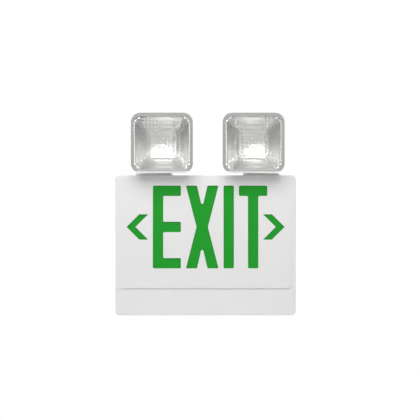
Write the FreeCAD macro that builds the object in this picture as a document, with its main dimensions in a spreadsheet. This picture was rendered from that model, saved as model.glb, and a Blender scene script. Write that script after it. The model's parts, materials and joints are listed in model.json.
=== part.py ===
"""Emergency exit light: a sign with a stencil face, a battery and two aimable lamp heads.

Frame: X to the right seen from the front, Z up, the wall at Y = 0 and the face towards -Y.
The origin is the centre of the back, where the wall box sits. Millimetres throughout.
"""
import FreeCAD, Part
import math
import os
import Sketcher

V = FreeCAD.Vector
doc = FreeCAD.newDocument("exit_light")
dim = doc.addObject("Spreadsheet::Sheet", "dim")

SIZES = (
    # front housing
    ("housing_width", 332, "outer width of the housing"),
    ("housing_height", 258, "outer height of the housing"),
    ("housing_depth", 70, "wall to front face"),
    ("housing_wall", 2.5, "moulded wall"),
    ("housing_corner", 8, "radius of the four corners"),
    ("front_round", 1.8, "rounding of the front edge"),
    ("panel_margin", 8.5, "side of the housing to the raised stencil panel"),
    ("panel_drop", 79, "panel's lower edge below the centre"),
    ("panel_top_margin", 3, "housing top to the line where the panel starts to rise"),
    ("panel_rise", 2.4, "how proud the panel is at its lower edge"),
    ("panel_corner", 7.5, "radius of the panel's lower corners"),
    # legend
    ("letter_height", 152.4, "six inch letters"),
    ("letter_drop", 42.5, "foot of the letters below the centre"),
    ("stroke", 19.05, "three quarter inch stroke"),
    ("word_start", -97.1, "left edge of the first letter"),
    ("letter_gap", 9.3, "space between letters"),
    ("letter_e_width", 51.6, "width of the E"),
    ("letter_x_width", 60, "width of the X"),
    ("letter_t_width", 52.2, "width of the T"),
    ("arm_width", 20.3, "X arm measured along its end"),
    ("waist_width", 20.9, "X at its waist"),
    ("notch_depth", 42, "depth of the X's upper and lower notches"),
    ("letter_round", 2.4, "rounding of the corners of E, I and T and of the X's notches"),
    ("cross_round", 1.5, "rounding of the X's other corners"),
    ("legend_width", 315, "width of panel that the letters are drawn for"),
    ("chevron_margin", 11.9, "side of the panel to a chevron's tip"),
    ("chevron_rise", 23.3, "half height of a chevron"),
    ("chevron_stroke", 16.4, "width of a chevron's limb, measured level"),
    ("legend_margin", 2, "legend sheet beyond the cut-outs"),
    ("legend_thick", 2, "legend sheet"),
    # light box behind the legend
    ("tray_depth", 22, "depth of the light box"),
    ("tray_wall", 1.5, "wall of the light box"),
    ("tray_flange", 5, "width of its flange"),
    ("tray_top_margin", 22, "housing top to the top of the flange"),
    ("strip_height", 10, "light strip, height"),
    ("board_thick", 1.6, "all circuit boards"),
    ("strip_spacing", 84, "between the two light strips"),
    ("strip_length", 264, "light strip, length"),
    ("led_count", 10, "lamps on one light strip"),
    ("led_size", 3.5, "side of a strip lamp"),
    ("led_thick", 1.4, "thickness of a strip lamp"),
    # back plate
    ("plate_thick", 2.5, "back plate"),
    ("plate_clearance", 0.4, "between the back plate and the housing wall"),
    ("rim_depth", 10, "rim round the back plate"),
    ("rim_wall", 2, "wall of that rim"),
    ("wire_entry", 22.2, "diameter of the wire entry"),
    ("box_screw_hole", 4.8, "diameter of the wall box screw holes"),
    ("round_box_spacing", 88.9, "screw spacing of a round wall box"),
    ("single_box_spacing", 83.3, "screw spacing of a single wall box"),
    ("keyhole_spacing", 254, "between the two keyholes"),
    ("keyhole_height", 60, "keyholes above the centre"),
    ("keyhole_entry", 9, "diameter of a keyhole's entry"),
    ("keyhole_slot", 4.5, "width of a keyhole's slot"),
    ("keyhole_travel", 9, "drop from the entry to the end of the slot"),
    ("hook_width", 30, "hooks that hold the cover's top edge"),
    ("hook_spacing", 200, "between the two hooks"),
    ("hook_inset", 5, "wall face to the middle of a hook"),
    ("hook_thick", 3, "hook"),
    ("hook_clearance", 0.5, "round a hook in its slot"),
    ("cover_screw_inset", 46, "side of the housing to a cover screw"),
    # screws
    ("screw_radius", 1.5, "shank of every small screw"),
    ("screw_head_radius", 2.8, "head of a small screw"),
    ("screw_head_thick", 1.8, "head of a small screw"),
    ("screw_grip", 0.05, "between a screw's shank and its hole"),
    ("boss_radius", 3.6, "moulded screw boss"),
    # swivels
    ("left_head_place", -79, "middle of the left head"),
    ("right_head_place", 87, "middle of the right head"),
    ("drum_radius", 10.5, "tilting drum"),
    ("drum_outboard", 49.5, "drum's reach away from the sign's middle"),
    ("drum_inboard", 17, "drum's reach towards the sign's middle"),
    ("drum_setback", 13.5, "front face to the tilt axis"),
    ("drum_sink", 5.5, "tilt axis below the top of the housing"),
    ("running_clearance", 0.08, "radial play of the drum and of the neck"),
    ("end_clearance", 0.4, "play at each end of a drum"),
    ("neck_radius", 7, "hollow neck between drum and head"),
    ("neck_bore", 4.5, "radius of the lead way through neck and drum"),
    ("neck_flange_radius", 9, "flange that carries the head"),
    ("neck_flange_low", 8.5, "tilt axis to the underside of the flange"),
    ("neck_flange_thick", 2.9, "that flange"),
    ("washer_thick", 0.8, "pan washer"),
    ("washer_play", 0.1, "between the washer and the collar, and over the collar"),
    ("collar_radius", 11.5, "collar in the floor of the head"),
    ("collar_height", 14.5, "collar"),
    ("clip_thick", 1, "retaining clip"),
    ("clip_radius", 10.5, "retaining clip, outside"),
    ("clip_groove", 1, "depth of the groove for the clip"),
    ("neck_tip", 3, "neck above the clip"),
    ("saddle_thick", 3.4, "saddle under the drum"),
    ("saddle_width", 13, "saddle, front to back"),
    ("saddle_ear", 10, "ear beyond each end of the drum"),
    ("saddle_boss_length", 10.5, "bosses that hang from the top wall"),
    # lamp heads
    ("head_width", 112, "lamp head"),
    ("head_height", 109, "lamp head"),
    ("head_corner", 17.5, "corners of the head's rim"),
    ("head_depth", 60, "front of the rim to the back of the head"),
    ("head_overhang", 28, "rim in front of the face"),
    ("head_gap", 3, "head above the housing"),
    ("rim_length", 4.5, "straight rim round the lens"),
    ("shell_step", 2.5, "step in from the rim to the shell"),
    ("shell_wall", 2, "shell"),
    ("shell_corner", 13, "corners of the tapering shell"),
    ("back_side_step", 20, "head's side to the side of the shell's back"),
    ("back_top_step", 19.5, "head's top to the top of the shell's back, and at the bottom"),
    ("back_round", 2.5, "bevel round the back of the shell"),
    ("lens_border", 2.9, "rim seen round the lens"),
    ("lens_clearance", 0.25, "between the lens and the rim"),
    ("lens_thick", 2.4, "lens"),
    ("lens_recess", 0.4, "lens behind the edge of the rim"),
    ("prism_pitch", 6.5, "pitch of the prisms"),
    ("prism_depth", 1.2, "depth of the prisms"),
    ("bowl_flange", 1.2, "reflector flange"),
    ("bowl_wall", 1.5, "reflector"),
    ("bowl_gap", 0.9, "between the reflector's mouth and the shell"),
    ("bowl_depth", 38, "reflector, mouth to vertex"),
    ("bowl_focus", 25, "focal length of the reflector"),
    ("bowl_rings", 5, "rings of facets from the vertex to the mouth"),
    ("bowl_sides", 28, "facets in a ring"),
    ("bowl_slope", 1.27, "depth gained per unit inwards on its four flat walls"),
    ("lamp_hole", 6, "radius of the hole at the vertex"),
    ("lamp_size", 7, "lamp"),
    ("lamp_rise", 2.2, "lamp and its dome above the board"),
    ("lamp_board_side", 28, "lamp board"),
    ("clip_mouth", 1.4, "mouth of a neck clip as a share of the neck's radius"),
    ("groove_share", 0.35, "half width of a lens groove as a share of its pitch"),
    ("dome_share", 0.4, "radius of a lamp's dome as a share of its side"),
    ("fin_share", 0.75, "depth of the fins as a share of the heat sink"),
    ("sink_side", 30, "heat sink"),
    ("fin_thick", 2, "heat sink fins"),
    ("fin_count", 6, "heat sink fins"),
    # control gear
    ("gear_board_width", 122, "control board"),
    ("gear_board_height", 54, "control board"),
    ("gear_board_margin", 9.1, "back plate's rim to the board's right edge"),
    ("gear_board_lift", 4.5, "board above the bottom wall"),
    ("standoff_length", 8, "standoffs under the board"),
    ("standoff_inset", 5, "standoffs from the board's corners"),
    ("core_width", 42, "transformer core"),
    ("core_height", 35, "transformer core"),
    ("core_depth", 15, "transformer core"),
    ("coil_depth", 31, "transformer winding"),
    ("capacitor_radius", 5, "capacitors"),
    ("capacitor_length", 16, "capacitors"),
    ("capacitor_pitch", 13, "between capacitors"),
    ("relay_width", 20, "relay"),
    ("relay_height", 11, "relay"),
    ("relay_depth", 12, "relay"),
    ("terminal_width", 36, "terminal block"),
    ("terminal_height", 14, "terminal block"),
    ("terminal_depth", 16, "terminal block"),
    ("terminal_ways", 3, "ways of the terminal block"),
    ("switch_side", 12, "test switch"),
    ("button_inset", 42, "board's right edge to the test button"),
    ("button_setback", 24, "wall face to the test button"),
    ("button_radius", 4, "test button"),
    ("button_play", 0.15, "round the test button"),
    ("button_travel", 1.5, "stroke of the test button"),
    ("status_gap", 22, "test button to the status lens"),
    ("status_radius", 2.5, "status lens"),
    ("status_rise", 3, "status lamp past the middle of its lens"),
    ("switch_reach", 4, "test switch past the middle of the button"),
    ("face_recess", 0.5, "button below the housing's face"),
    ("light_recess", 0.2, "status lens below the housing's face"),
    ("flange_step", 2, "button's inner flange beyond its stem"),
    ("flange_thick", 1.2, "flanges of the button and the status lens"),
    ("seat_gap", 0.3, "between pieces that lie against each other"),
    ("coil_share_wide", 0.62, "winding's share of the core's width"),
    ("coil_share_high", 0.72, "winding's share of the core's height"),
    ("core_inset", 24.4, "transformer left of the board's middle"),
    ("relay_inset", 30.5, "relay right of the board's middle"),
    ("capacitor_count", 3, "capacitors"),
    ("capacitor_gap", 2, "relay to the capacitors"),
    # battery
    ("cell_radius", 11.5, "battery cells under their sleeve"),
    ("cell_length", 43, "one cell"),
    ("cell_count", 3, "cells end to end"),
    ("cell_waist", 0.8, "dip of the sleeve between cells"),
    ("battery_margin", 11.1, "back plate's rim to the battery's left end"),
    ("strap_margin", 1.6, "back plate's rim to the straps' lower feet"),
    ("battery_gap", 0.3, "between the battery, the plate and its straps"),
    ("strap_thick", 1.2, "battery straps"),
    ("strap_width", 12, "battery straps"),
    ("strap_foot", 8.5, "feet of the battery straps"),
)
for row, (alias, value, note) in enumerate(SIZES, 1):
    dim.set(f"A{row}", note)
    dim.set(f"B{row}", str(value))
    dim.setAlias(f"B{row}", alias)
doc.recompute()


def size(alias):
    """The number in a named cell, for the few shapes that are set by code."""
    return float(dim.get(alias))


# Places that several pieces share, as formulas on the sheet.
TOP = "dim.housing_height / 2"
INNER_TOP = "(dim.housing_height / 2 - dim.housing_wall)"
INNER_SIDE = "(dim.housing_width / 2 - dim.housing_wall)"
INNER_FRONT = "(dim.housing_depth - dim.housing_wall)"
COVER_SCREW_PLACE = "(dim.housing_width / 2 - dim.cover_screw_inset)"
PANEL_WIDTH = "(dim.housing_width - 2 * dim.panel_margin)"
WORD_SCALE = f"({PANEL_WIDTH} / dim.legend_width)"
CHEVRON_TIP = f"({PANEL_WIDTH} / 2 - dim.chevron_margin)"
PANEL_TOP = "(dim.housing_height / 2 - dim.panel_top_margin)"
PANEL_LEAN = f"atan(dim.panel_rise / ({PANEL_TOP} + dim.panel_drop))"
LETTER_MIDDLE = "(dim.letter_height / 2 - dim.letter_drop)"
TILT_AXIS_DEPTH = "(dim.housing_depth - dim.drum_setback)"
TILT_AXIS_HEIGHT = "(dim.housing_height / 2 - dim.drum_sink)"
HEAD_FRONT = "(dim.housing_depth + dim.head_overhang)"
HEAD_MIDDLE = "(dim.housing_height / 2 + dim.head_gap + dim.head_height / 2)"
LENS_WIDTH = "(dim.head_width - 2 * dim.lens_border)"
LENS_HEIGHT = "(dim.head_height - 2 * dim.lens_border)"
LENS_BACK = f"({HEAD_FRONT} - dim.lens_recess - dim.lens_thick)"
SEAT_DEPTH = "(dim.lens_recess + dim.lens_thick + dim.bowl_flange)"
BOWL_BACK = f"({LENS_BACK} - dim.bowl_depth - dim.bowl_wall)"
COLLAR_LOW = (f"({TILT_AXIS_HEIGHT} + dim.neck_flange_low + dim.neck_flange_thick"
              " + dim.washer_thick + dim.washer_play)")
COLLAR_TOP = f"({COLLAR_LOW} + dim.collar_height)"
BOARD_LOW = "(dim.gear_board_lift + dim.housing_wall - dim.housing_height / 2)"
BOARD_LEFT = (f"({INNER_SIDE} - dim.plate_clearance - dim.rim_wall - dim.gear_board_margin"
              " - dim.gear_board_width)")
BUTTON_PLACE = f"({BOARD_LEFT} + dim.gear_board_width - dim.button_inset)"
STATUS_PLACE = f"({BUTTON_PLACE} - dim.status_gap)"
BOARD_BACK = "(dim.plate_thick + dim.standoff_length)"
BOARD_FRONT = f"({BOARD_BACK} + dim.board_thick)"
STRAP_REACH = "(dim.cell_radius + dim.battery_gap + dim.strap_thick + dim.strap_foot)"
BATTERY_LEFT = f"({INNER_SIDE} - dim.plate_clearance - dim.rim_wall - dim.battery_margin)"
BATTERY_DROP = f"({INNER_TOP} - dim.plate_clearance - dim.rim_wall - dim.strap_margin - {STRAP_REACH})"
BATTERY_DEPTH = "(dim.plate_thick + dim.cell_radius + dim.battery_gap)"
SCREW_HOLE = "dim.screw_radius + dim.screw_grip"

# Radius at which a sketch's lines are first drawn, before the formulas place them.
DRAFT = 5

NODES = []


# ---------------------------------------------------------------- small helpers

def new_body(label):
    body = doc.addObject("PartDesign::Body", label)
    body.Label = label
    NODES.append(body)
    return body


def keep_node(obj, label):
    obj.Label = label
    NODES.append(obj)
    return obj


def sketch_on(body, role, offset="0"):
    """A sketch on one of the body's own origin planes, moved out along its normal."""
    sketch = body.newObject("Sketcher::SketchObject", "sketch")
    plane = next(item for item in body.Origin.OriginFeatures if item.Role == role)
    sketch.AttachmentSupport = [(plane, "")]
    sketch.MapMode = "FlatFace"
    sketch.setExpression("AttachmentOffset.Base.z", offset)
    return sketch


def pin_point(sketch, geometry, point, start, place):
    """Ties one point of a sketch to a pair of formulas."""
    for kind, value, formula in (("DistanceX", start.x, place[0]), ("DistanceY", start.y, place[1])):
        index = sketch.addConstraint(Sketcher.Constraint(kind, geometry, point, value))
        sketch.setExpression(f"Constraints[{index}]", formula)


def outline(sketch, corners):
    """A closed outline of straight lines through corners given as pairs of formulas."""
    count = len(corners)
    turn = 2 * math.pi / count
    draft = [V(DRAFT * math.cos(turn * i), DRAFT * math.sin(turn * i), 0) for i in range(count)]
    first = sketch.GeometryCount
    for i in range(count):
        sketch.addGeometry(Part.LineSegment(draft[i], draft[(i + 1) % count]), False)
    for i in range(count):
        following = first + (i + 1) % count
        sketch.addConstraint(Sketcher.Constraint("Coincident", first + i, 2, following, 1))
    for i in range(count):
        pin_point(sketch, first + i, 1, draft[i], corners[i])


def rectangle(sketch, width, height, middle=("0", "0")):
    across, up = middle
    left, right = f"{across} - ({width}) / 2", f"{across} + ({width}) / 2"
    low, high = f"{up} - ({height}) / 2", f"{up} + ({height}) / 2"
    outline(sketch, [(left, low), (right, low), (right, high), (left, high)])


def rounded(sketch, width, height, radius, middle=("0", "0")):
    """A rectangle with four equal rounded corners."""
    across, up = middle
    first = sketch.GeometryCount
    for quarter in range(4):
        turn = quarter * math.pi / 2
        spin = FreeCAD.Rotation(V(0, 0, 1), 90 * quarter)
        sketch.addGeometry(Part.LineSegment(spin * V(2 * DRAFT, -DRAFT, 0),
                                            spin * V(2 * DRAFT, DRAFT, 0)), False)
        circle = Part.Circle(spin * V(DRAFT, DRAFT, 0), V(0, 0, 1), DRAFT)
        sketch.addGeometry(Part.ArcOfCircle(circle, turn, turn + math.pi / 2), False)
    for quarter in range(4):
        line, arc = first + 2 * quarter, first + 2 * quarter + 1
        following = first + (2 * quarter + 2) % 8
        sketch.addConstraint(Sketcher.Constraint("Coincident", line, 2, arc, 1))
        sketch.addConstraint(Sketcher.Constraint("Coincident", arc, 2, following, 1))
    half_width, half_height = f"({width}) / 2", f"({height}) / 2"
    short_width, short_height = f"({half_width} - ({radius}))", f"({half_height} - ({radius}))"
    for quarter, sign in enumerate((1, 1, -1, -1)):
        if quarter % 2 == 0:
            start = (f"{across} + {sign} * {half_width}", f"{up} - {sign} * {short_height}")
            stop = (f"{across} + {sign} * {half_width}", f"{up} + {sign} * {short_height}")
        else:
            start = (f"{across} + {sign} * {short_width}", f"{up} + {sign} * {half_height}")
            stop = (f"{across} - {sign} * {short_width}", f"{up} + {sign} * {half_height}")
        line = first + 2 * quarter
        draft = FreeCAD.Rotation(V(0, 0, 1), 90 * quarter)
        pin_point(sketch, line, 1, draft * V(2 * DRAFT, -DRAFT, 0), start)
        pin_point(sketch, line, 2, draft * V(2 * DRAFT, DRAFT, 0), stop)
    for quarter, side in enumerate((1, -1, -1, 1)):
        arc = first + 2 * quarter + 1
        index = sketch.addConstraint(Sketcher.Constraint("DistanceX", arc, 3, DRAFT * side))
        sketch.setExpression(f"Constraints[{index}]", f"{across} + {side} * {short_width}")


def disc(sketch, radius, middle=("0", "0")):
    index = sketch.addGeometry(Part.Circle(V(1, 1, 0), V(0, 0, 1), 1), False)
    ring = sketch.addConstraint(Sketcher.Constraint("Radius", index, 1))
    sketch.setExpression(f"Constraints[{ring}]", radius)
    pin_point(sketch, index, 3, V(1, 1, 0), middle)


def extrude(body, kind, sketch, length, backwards=False, both_ways=False):
    feature = body.newObject(f"PartDesign::{kind}", kind)
    feature.Profile = sketch
    feature.setExpression("Length", length)
    feature.Reversed = backwards
    if both_ways:
        feature.SideType = "Symmetric"
    doc.recompute()
    return feature


def pad(body, sketch, length, **how):
    return extrude(body, "Pad", sketch, length, **how)


def pocket(body, sketch, length, **how):
    before = body.Shape.Volume
    feature = extrude(body, "Pocket", sketch, length, **how)
    if not body.Shape.Volume < before:
        raise RuntimeError(f"a pocket of {body.Label} removes nothing")
    return feature


def revolve(body, sketch):
    feature = body.newObject("PartDesign::Revolution", "Revolution")
    feature.Profile = sketch
    feature.ReferenceAxis = (sketch, ["V_Axis"])
    feature.Angle = 360
    doc.recompute()
    return feature


def soften(body, kind, amount, chosen):
    """A Fillet or Chamfer on the edges of the body's present shape that are chosen."""
    names = [f"Edge{i}" for i, edge in enumerate(body.Shape.Edges, 1) if chosen(edge)]
    if not names:
        raise RuntimeError(f"no edge of {body.Label} to soften")
    base = body.Tip
    feature = body.newObject(f"PartDesign::{kind}", kind)
    feature.Base = (base, names)
    feature.setExpression("Radius" if kind == "Fillet" else "Size", amount)
    doc.recompute()
    return feature


def repeat(body, original, role, span, count):
    """A row of copies of one feature along an origin axis of the body."""
    row = body.newObject("PartDesign::LinearPattern", "LinearPattern")
    row.Originals = [original]
    axis = next(item for item in body.Origin.OriginFeatures if item.Role == role)
    row.Direction = (axis, [""])
    row.setExpression("Length", span)
    row.setExpression("Occurrences", count)
    body.Tip = row
    doc.recompute()
    return row


def straight(edge, axis):
    """Whether an edge is a straight line along the axis."""
    along = edge.Vertexes[-1].Point - edge.Vertexes[0].Point
    return near(along.Length, edge.Length) and along.cross(axis).Length < 1e-6 * along.Length


def near(value, target):
    return abs(value - target) < 1e-3


def put(obj, x="0", y="0", z="0"):
    obj.setExpression("Placement.Base.x", x)
    obj.setExpression("Placement.Base.y", y)
    obj.setExpression("Placement.Base.z", z)
    return obj


def block(name, x, y, z, middle):
    """A box given by its three sides and its middle, all formulas."""
    box = doc.addObject("Part::Box", name)
    for prop, side in (("Length", x), ("Width", y), ("Height", z)):
        box.setExpression(prop, side)
    corner = [f"{place} - ({side}) / 2" for place, side in zip(middle, (x, y, z))]
    return put(box, *corner)


def rod(name, radius, length, start, axis):
    """A cylinder from its start along an axis."""
    cylinder = doc.addObject("Part::Cylinder", name)
    cylinder.Placement = FreeCAD.Placement(V(), FreeCAD.Rotation(V(0, 0, 1), axis))
    cylinder.setExpression("Radius", radius)
    cylinder.setExpression("Height", length)
    return put(cylinder, *start)


def fuse(name, shapes):
    joined = doc.addObject("Part::MultiFuse", name)
    joined.Shapes = shapes
    return joined


def cut(name, base, tool):
    trimmed = doc.addObject("Part::Cut", name)
    trimmed.Base = base
    trimmed.Tool = tool
    return trimmed


def group(label, members):
    """Like pieces kept together in one node as separate solids."""
    together = doc.addObject("Part::Compound", label)
    together.Links = members
    return keep_node(together, label)


def screw(name, length, seat, axis):
    """A pan head screw: seat is the point under its head, axis points along the shank."""
    back = [f"{place} - ({part}) * dim.screw_head_thick" for place, part in zip(seat, axis)]
    head = rod(name + "_head", "dim.screw_head_radius", "dim.screw_head_thick", back, axis)
    shank = rod(name + "_shank", "dim.screw_radius", length, seat, axis)
    recess = rod(name + "_recess", "dim.screw_radius", "dim.screw_head_thick / 2", back, axis)
    return cut(name, fuse(name + "_blank", [head, shank]), recess)


def lean(obj, y="0", z="0"):
    """Places a piece in the frame of the leaning panel's inner face."""
    obj.Placement = FreeCAD.Placement(V(), FreeCAD.Rotation(V(1, 0, 0), -1))
    obj.setExpression("Placement.Rotation.Angle", f"-{PANEL_LEAN}")
    return put(obj, "0", f"-{INNER_FRONT} + ({y})", f"{PANEL_TOP} + ({z})")


# ---------------------------------------------------------------- legend outlines

def across_word(alias):
    """A level length of the legend, drawn out or in with the width of the panel."""
    return f"(dim.{alias} * {WORD_SCALE})"


def letter_outlines():
    """The outlines of E, X, I and T, each a list of corners as pairs of formulas."""
    foot = "-dim.letter_drop"
    top = "(dim.letter_height - dim.letter_drop)"
    middle = LETTER_MIDDLE
    bar, upright = "dim.stroke", across_word("stroke")
    arm, half_waist = across_word("arm_width"), f"{across_word('waist_width')} / 2"
    e_left = across_word("word_start")
    e_stem = f"({e_left} + {upright})"
    e_right = f"({e_left} + {across_word('letter_e_width')})"
    letter_e = [(e_left, foot), (e_right, foot), (e_right, f"{foot} + {bar}"),
                (e_stem, f"{foot} + {bar}"), (e_stem, f"{middle} - {bar} / 2"),
                (e_right, f"{middle} - {bar} / 2"), (e_right, f"{middle} + {bar} / 2"),
                (e_stem, f"{middle} + {bar} / 2"), (e_stem, f"{top} - {bar}"),
                (e_right, f"{top} - {bar}"), (e_right, top), (e_left, top)]
    x_left = f"({e_right} + {across_word('letter_gap')})"
    x_right = f"({x_left} + {across_word('letter_x_width')})"
    x_middle = f"({x_left} + {across_word('letter_x_width')} / 2)"
    letter_x = [(x_left, foot), (f"{x_left} + {arm}", foot),
                (x_middle, f"{foot} + dim.notch_depth"),
                (f"{x_right} - {arm}", foot), (x_right, foot),
                (f"{x_middle} + {half_waist}", middle),
                (x_right, top), (f"{x_right} - {arm}", top),
                (x_middle, f"{top} - dim.notch_depth"),
                (f"{x_left} + {arm}", top), (x_left, top),
                (f"{x_middle} - {half_waist}", middle)]
    i_left = f"({x_right} + {across_word('letter_gap')})"
    i_right = f"({i_left} + {upright})"
    letter_i = [(i_left, foot), (i_right, foot), (i_right, top), (i_left, top)]
    t_left = f"({i_right} + {across_word('letter_gap')})"
    t_right = f"({t_left} + {across_word('letter_t_width')})"
    t_middle = f"({t_left} + {across_word('letter_t_width')} / 2)"
    letter_t = [(f"{t_middle} - {upright} / 2", foot), (f"{t_middle} + {upright} / 2", foot),
                (f"{t_middle} + {upright} / 2", f"{top} - {bar}"), (t_right, f"{top} - {bar}"),
                (t_right, top), (t_left, top), (t_left, f"{top} - {bar}"),
                (f"{t_middle} - {upright} / 2", f"{top} - {bar}")]
    return [letter_e, letter_x, letter_i, letter_t]


def chevron_outline(side):
    """A chevron whose tip points away from the word; side is -1 or 1."""
    slant, limb = across_word("chevron_rise"), across_word("chevron_stroke")
    tip = f"{side} * {CHEVRON_TIP}"
    outer = f"{side} * ({CHEVRON_TIP} - {slant})"
    inner = f"{side} * ({CHEVRON_TIP} - {slant} - {limb})"
    vertex = f"{side} * ({CHEVRON_TIP} - {limb})"
    high = f"{LETTER_MIDDLE} + dim.chevron_rise"
    low = f"{LETTER_MIDDLE} - dim.chevron_rise"
    return [(tip, LETTER_MIDDLE), (outer, high), (inner, high),
            (vertex, LETTER_MIDDLE), (inner, low), (outer, low)]


# ---------------------------------------------------------------- swivel places

HEADS = (("left", -1, "dim.left_head_place"), ("right", 1, "dim.right_head_place"))
DRUM_LENGTH = "(dim.drum_outboard + dim.drum_inboard)"


def drum_middle(side, place):
    return f"({place} + {side} * (dim.drum_outboard - dim.drum_inboard) / 2)"


def saddle_screw_places():
    """Where the saddle screws stand along X, two for each drum."""
    places = []
    for name, side, place in HEADS:
        reach = f"({DRUM_LENGTH} / 2 + dim.saddle_ear / 2 + dim.end_clearance)"
        for end in (-1, 1):
            places.append(f"{drum_middle(side, place)} + {end} * {reach}")
    return places


def tray_screw_places():
    """Where the light box is screwed to the cover: X, and drop below the panel's top line."""
    across = f"({INNER_SIDE} - dim.housing_corner - dim.boss_radius)"
    drops = ("(dim.housing_height / 4)", f"({PANEL_TOP} + dim.letter_drop + dim.boss_radius)")
    return [(f"{side} * {across}", drop) for side in (-1, 1) for drop in drops]


BOSS_HEIGHT = "dim.saddle_boss_length"
TRAY_FRONT = "(dim.legend_thick + dim.plate_clearance / 2)"


# ---------------------------------------------------------------- front housing

def build_front_housing():
    body = new_body("front_housing")
    along_y = V(0, 1, 0)
    half_width, half_height = size("housing_width") / 2, size("housing_height") / 2
    wall = size("housing_wall")

    front = sketch_on(body, "XZ_Plane")
    rectangle(front, "dim.housing_width", "dim.housing_height")
    pad(body, front, "dim.housing_depth")
    soften(body, "Fillet", "dim.housing_corner", lambda edge: straight(edge, along_y))
    face = -size("housing_depth")
    soften(body, "Fillet", "dim.front_round",
           lambda edge: near(edge.BoundBox.YMin, face) and near(edge.BoundBox.YMax, face))

    wedge = sketch_on(body, "YZ_Plane")
    outline(wedge, [("-dim.housing_depth", PANEL_TOP), ("-dim.housing_depth", "-dim.panel_drop"),
                    ("-dim.housing_depth - dim.panel_rise", "-dim.panel_drop")])
    pad(body, wedge, PANEL_WIDTH, both_ways=True)
    drop, half_panel = -size("panel_drop"), size("housing_width") / 2 - size("panel_margin")
    soften(body, "Fillet", "dim.panel_corner",
           lambda edge: straight(edge, along_y) and near(edge.BoundBox.ZMax, drop)
           and near(abs(edge.BoundBox.Center.x), half_panel))

    hollow = sketch_on(body, "XZ_Plane")
    rectangle(hollow, f"2 * {INNER_SIDE}", f"2 * {INNER_TOP}")
    pocket(body, hollow, INNER_FRONT, backwards=True)
    soften(body, "Fillet", "dim.housing_corner - dim.housing_wall",
           lambda edge: straight(edge, along_y)
           and near(abs(edge.BoundBox.Center.x), half_width - wall)
           and near(abs(edge.BoundBox.Center.z), half_height - wall))

    relief = sketch_on(body, "YZ_Plane")
    floor = "(dim.housing_wall - dim.panel_drop)"
    deep = f"-{INNER_FRONT} - ({PANEL_TOP} - {floor}) * tan({PANEL_LEAN})"
    outline(relief, [(f"-{INNER_FRONT}", PANEL_TOP), (f"-{INNER_FRONT}", floor), (deep, floor)])
    pocket(body, relief, f"{PANEL_WIDTH} - 2 * dim.housing_wall", both_ways=True)

    legend = sketch_on(body, "XZ_Plane", "dim.housing_depth + 2 * dim.panel_rise")
    for shape in letter_outlines() + [chevron_outline(side) for side in (-1, 1)]:
        outline(legend, shape)
    pocket(body, legend, "2 * dim.panel_rise + 2 * dim.housing_wall")
    word_scale = 2 * half_panel / size("legend_width")
    word_left = size("word_start") * word_scale - 1
    word_right = half_panel - size("panel_top_margin")
    chevron = (size("chevron_rise") + size("chevron_stroke")) * word_scale
    tip = half_panel - size("chevron_margin") - chevron
    foot = -size("letter_drop")
    head = foot + size("letter_height")
    middle = (foot + head) / 2
    rise = size("chevron_rise")

    def of_letter(edge):
        """Whether an edge runs through the wall at a corner of a letter, not of a chevron."""
        box = edge.BoundBox
        if box.YMax > 1 - size("housing_depth") + wall or box.YLength > 2 * wall + size("panel_rise"):
            return False
        if not straight(edge, along_y):
            return False
        in_word = word_left < box.Center.x < word_right and foot - 1 < box.Center.z < head + 1
        beside = abs(box.Center.x) > tip - 1 and abs(box.Center.z - middle) < rise + 1
        chevron_rows = any(near(box.Center.z, middle + step * rise) for step in (-1, 0, 1))
        return in_word and not (beside and chevron_rows)

    before_cross = size("word_start") + size("letter_e_width") + size("letter_gap")
    cross = (before_cross + size("letter_x_width") / 2) * word_scale
    cross_half, gap = size("letter_x_width") * word_scale / 2, size("letter_gap") * word_scale / 2

    def on_cross(edge):
        """Whether an edge belongs to the X, apart from its two deep notches."""
        away = abs(edge.BoundBox.Center.x - cross)
        return gap < away < cross_half + gap

    soften(body, "Fillet", "dim.letter_round", lambda edge: of_letter(edge) and not on_cross(edge))
    soften(body, "Fillet", "dim.cross_round", lambda edge: of_letter(edge) and on_cross(edge))

    for name, side, place in HEADS:
        window = sketch_on(body, "YZ_Plane", drum_middle(side, place))
        disc(window, "dim.drum_radius + dim.running_clearance",
             (f"-{TILT_AXIS_DEPTH}", TILT_AXIS_HEIGHT))
        pocket(body, window, f"{DRUM_LENGTH} + 2 * dim.end_clearance", both_ways=True)

    bosses = sketch_on(body, "XY_Plane", f"{INNER_TOP} + dim.housing_wall / 2")
    holes = sketch_on(body, "XY_Plane", f"{INNER_TOP} - {BOSS_HEIGHT}")
    for across in saddle_screw_places():
        disc(bosses, "dim.boss_radius", (across, f"-{TILT_AXIS_DEPTH}"))
        disc(holes, SCREW_HOLE, (across, f"-{TILT_AXIS_DEPTH}"))
    pad(body, bosses, f"{BOSS_HEIGHT} + dim.housing_wall / 2", backwards=True)
    pocket(body, holes, f"{BOSS_HEIGHT} - dim.housing_wall / 2", backwards=True)

    for across, fall in tray_screw_places():
        inner = f"({INNER_FRONT} + ({fall}) * tan({PANEL_LEAN}) - {TRAY_FRONT} + dim.running_clearance)"
        seat = sketch_on(body, "XZ_Plane", inner)
        disc(seat, "dim.boss_radius", (across, f"{PANEL_TOP} - {fall}"))
        pad(body, seat, f"{TRAY_FRONT} + dim.housing_wall / 2")
        hole = sketch_on(body, "XZ_Plane", inner)
        disc(hole, SCREW_HOLE, (across, f"{PANEL_TOP} - {fall}"))
        pocket(body, hole, f"{TRAY_FRONT} + dim.housing_wall / 2", backwards=True)

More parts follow.
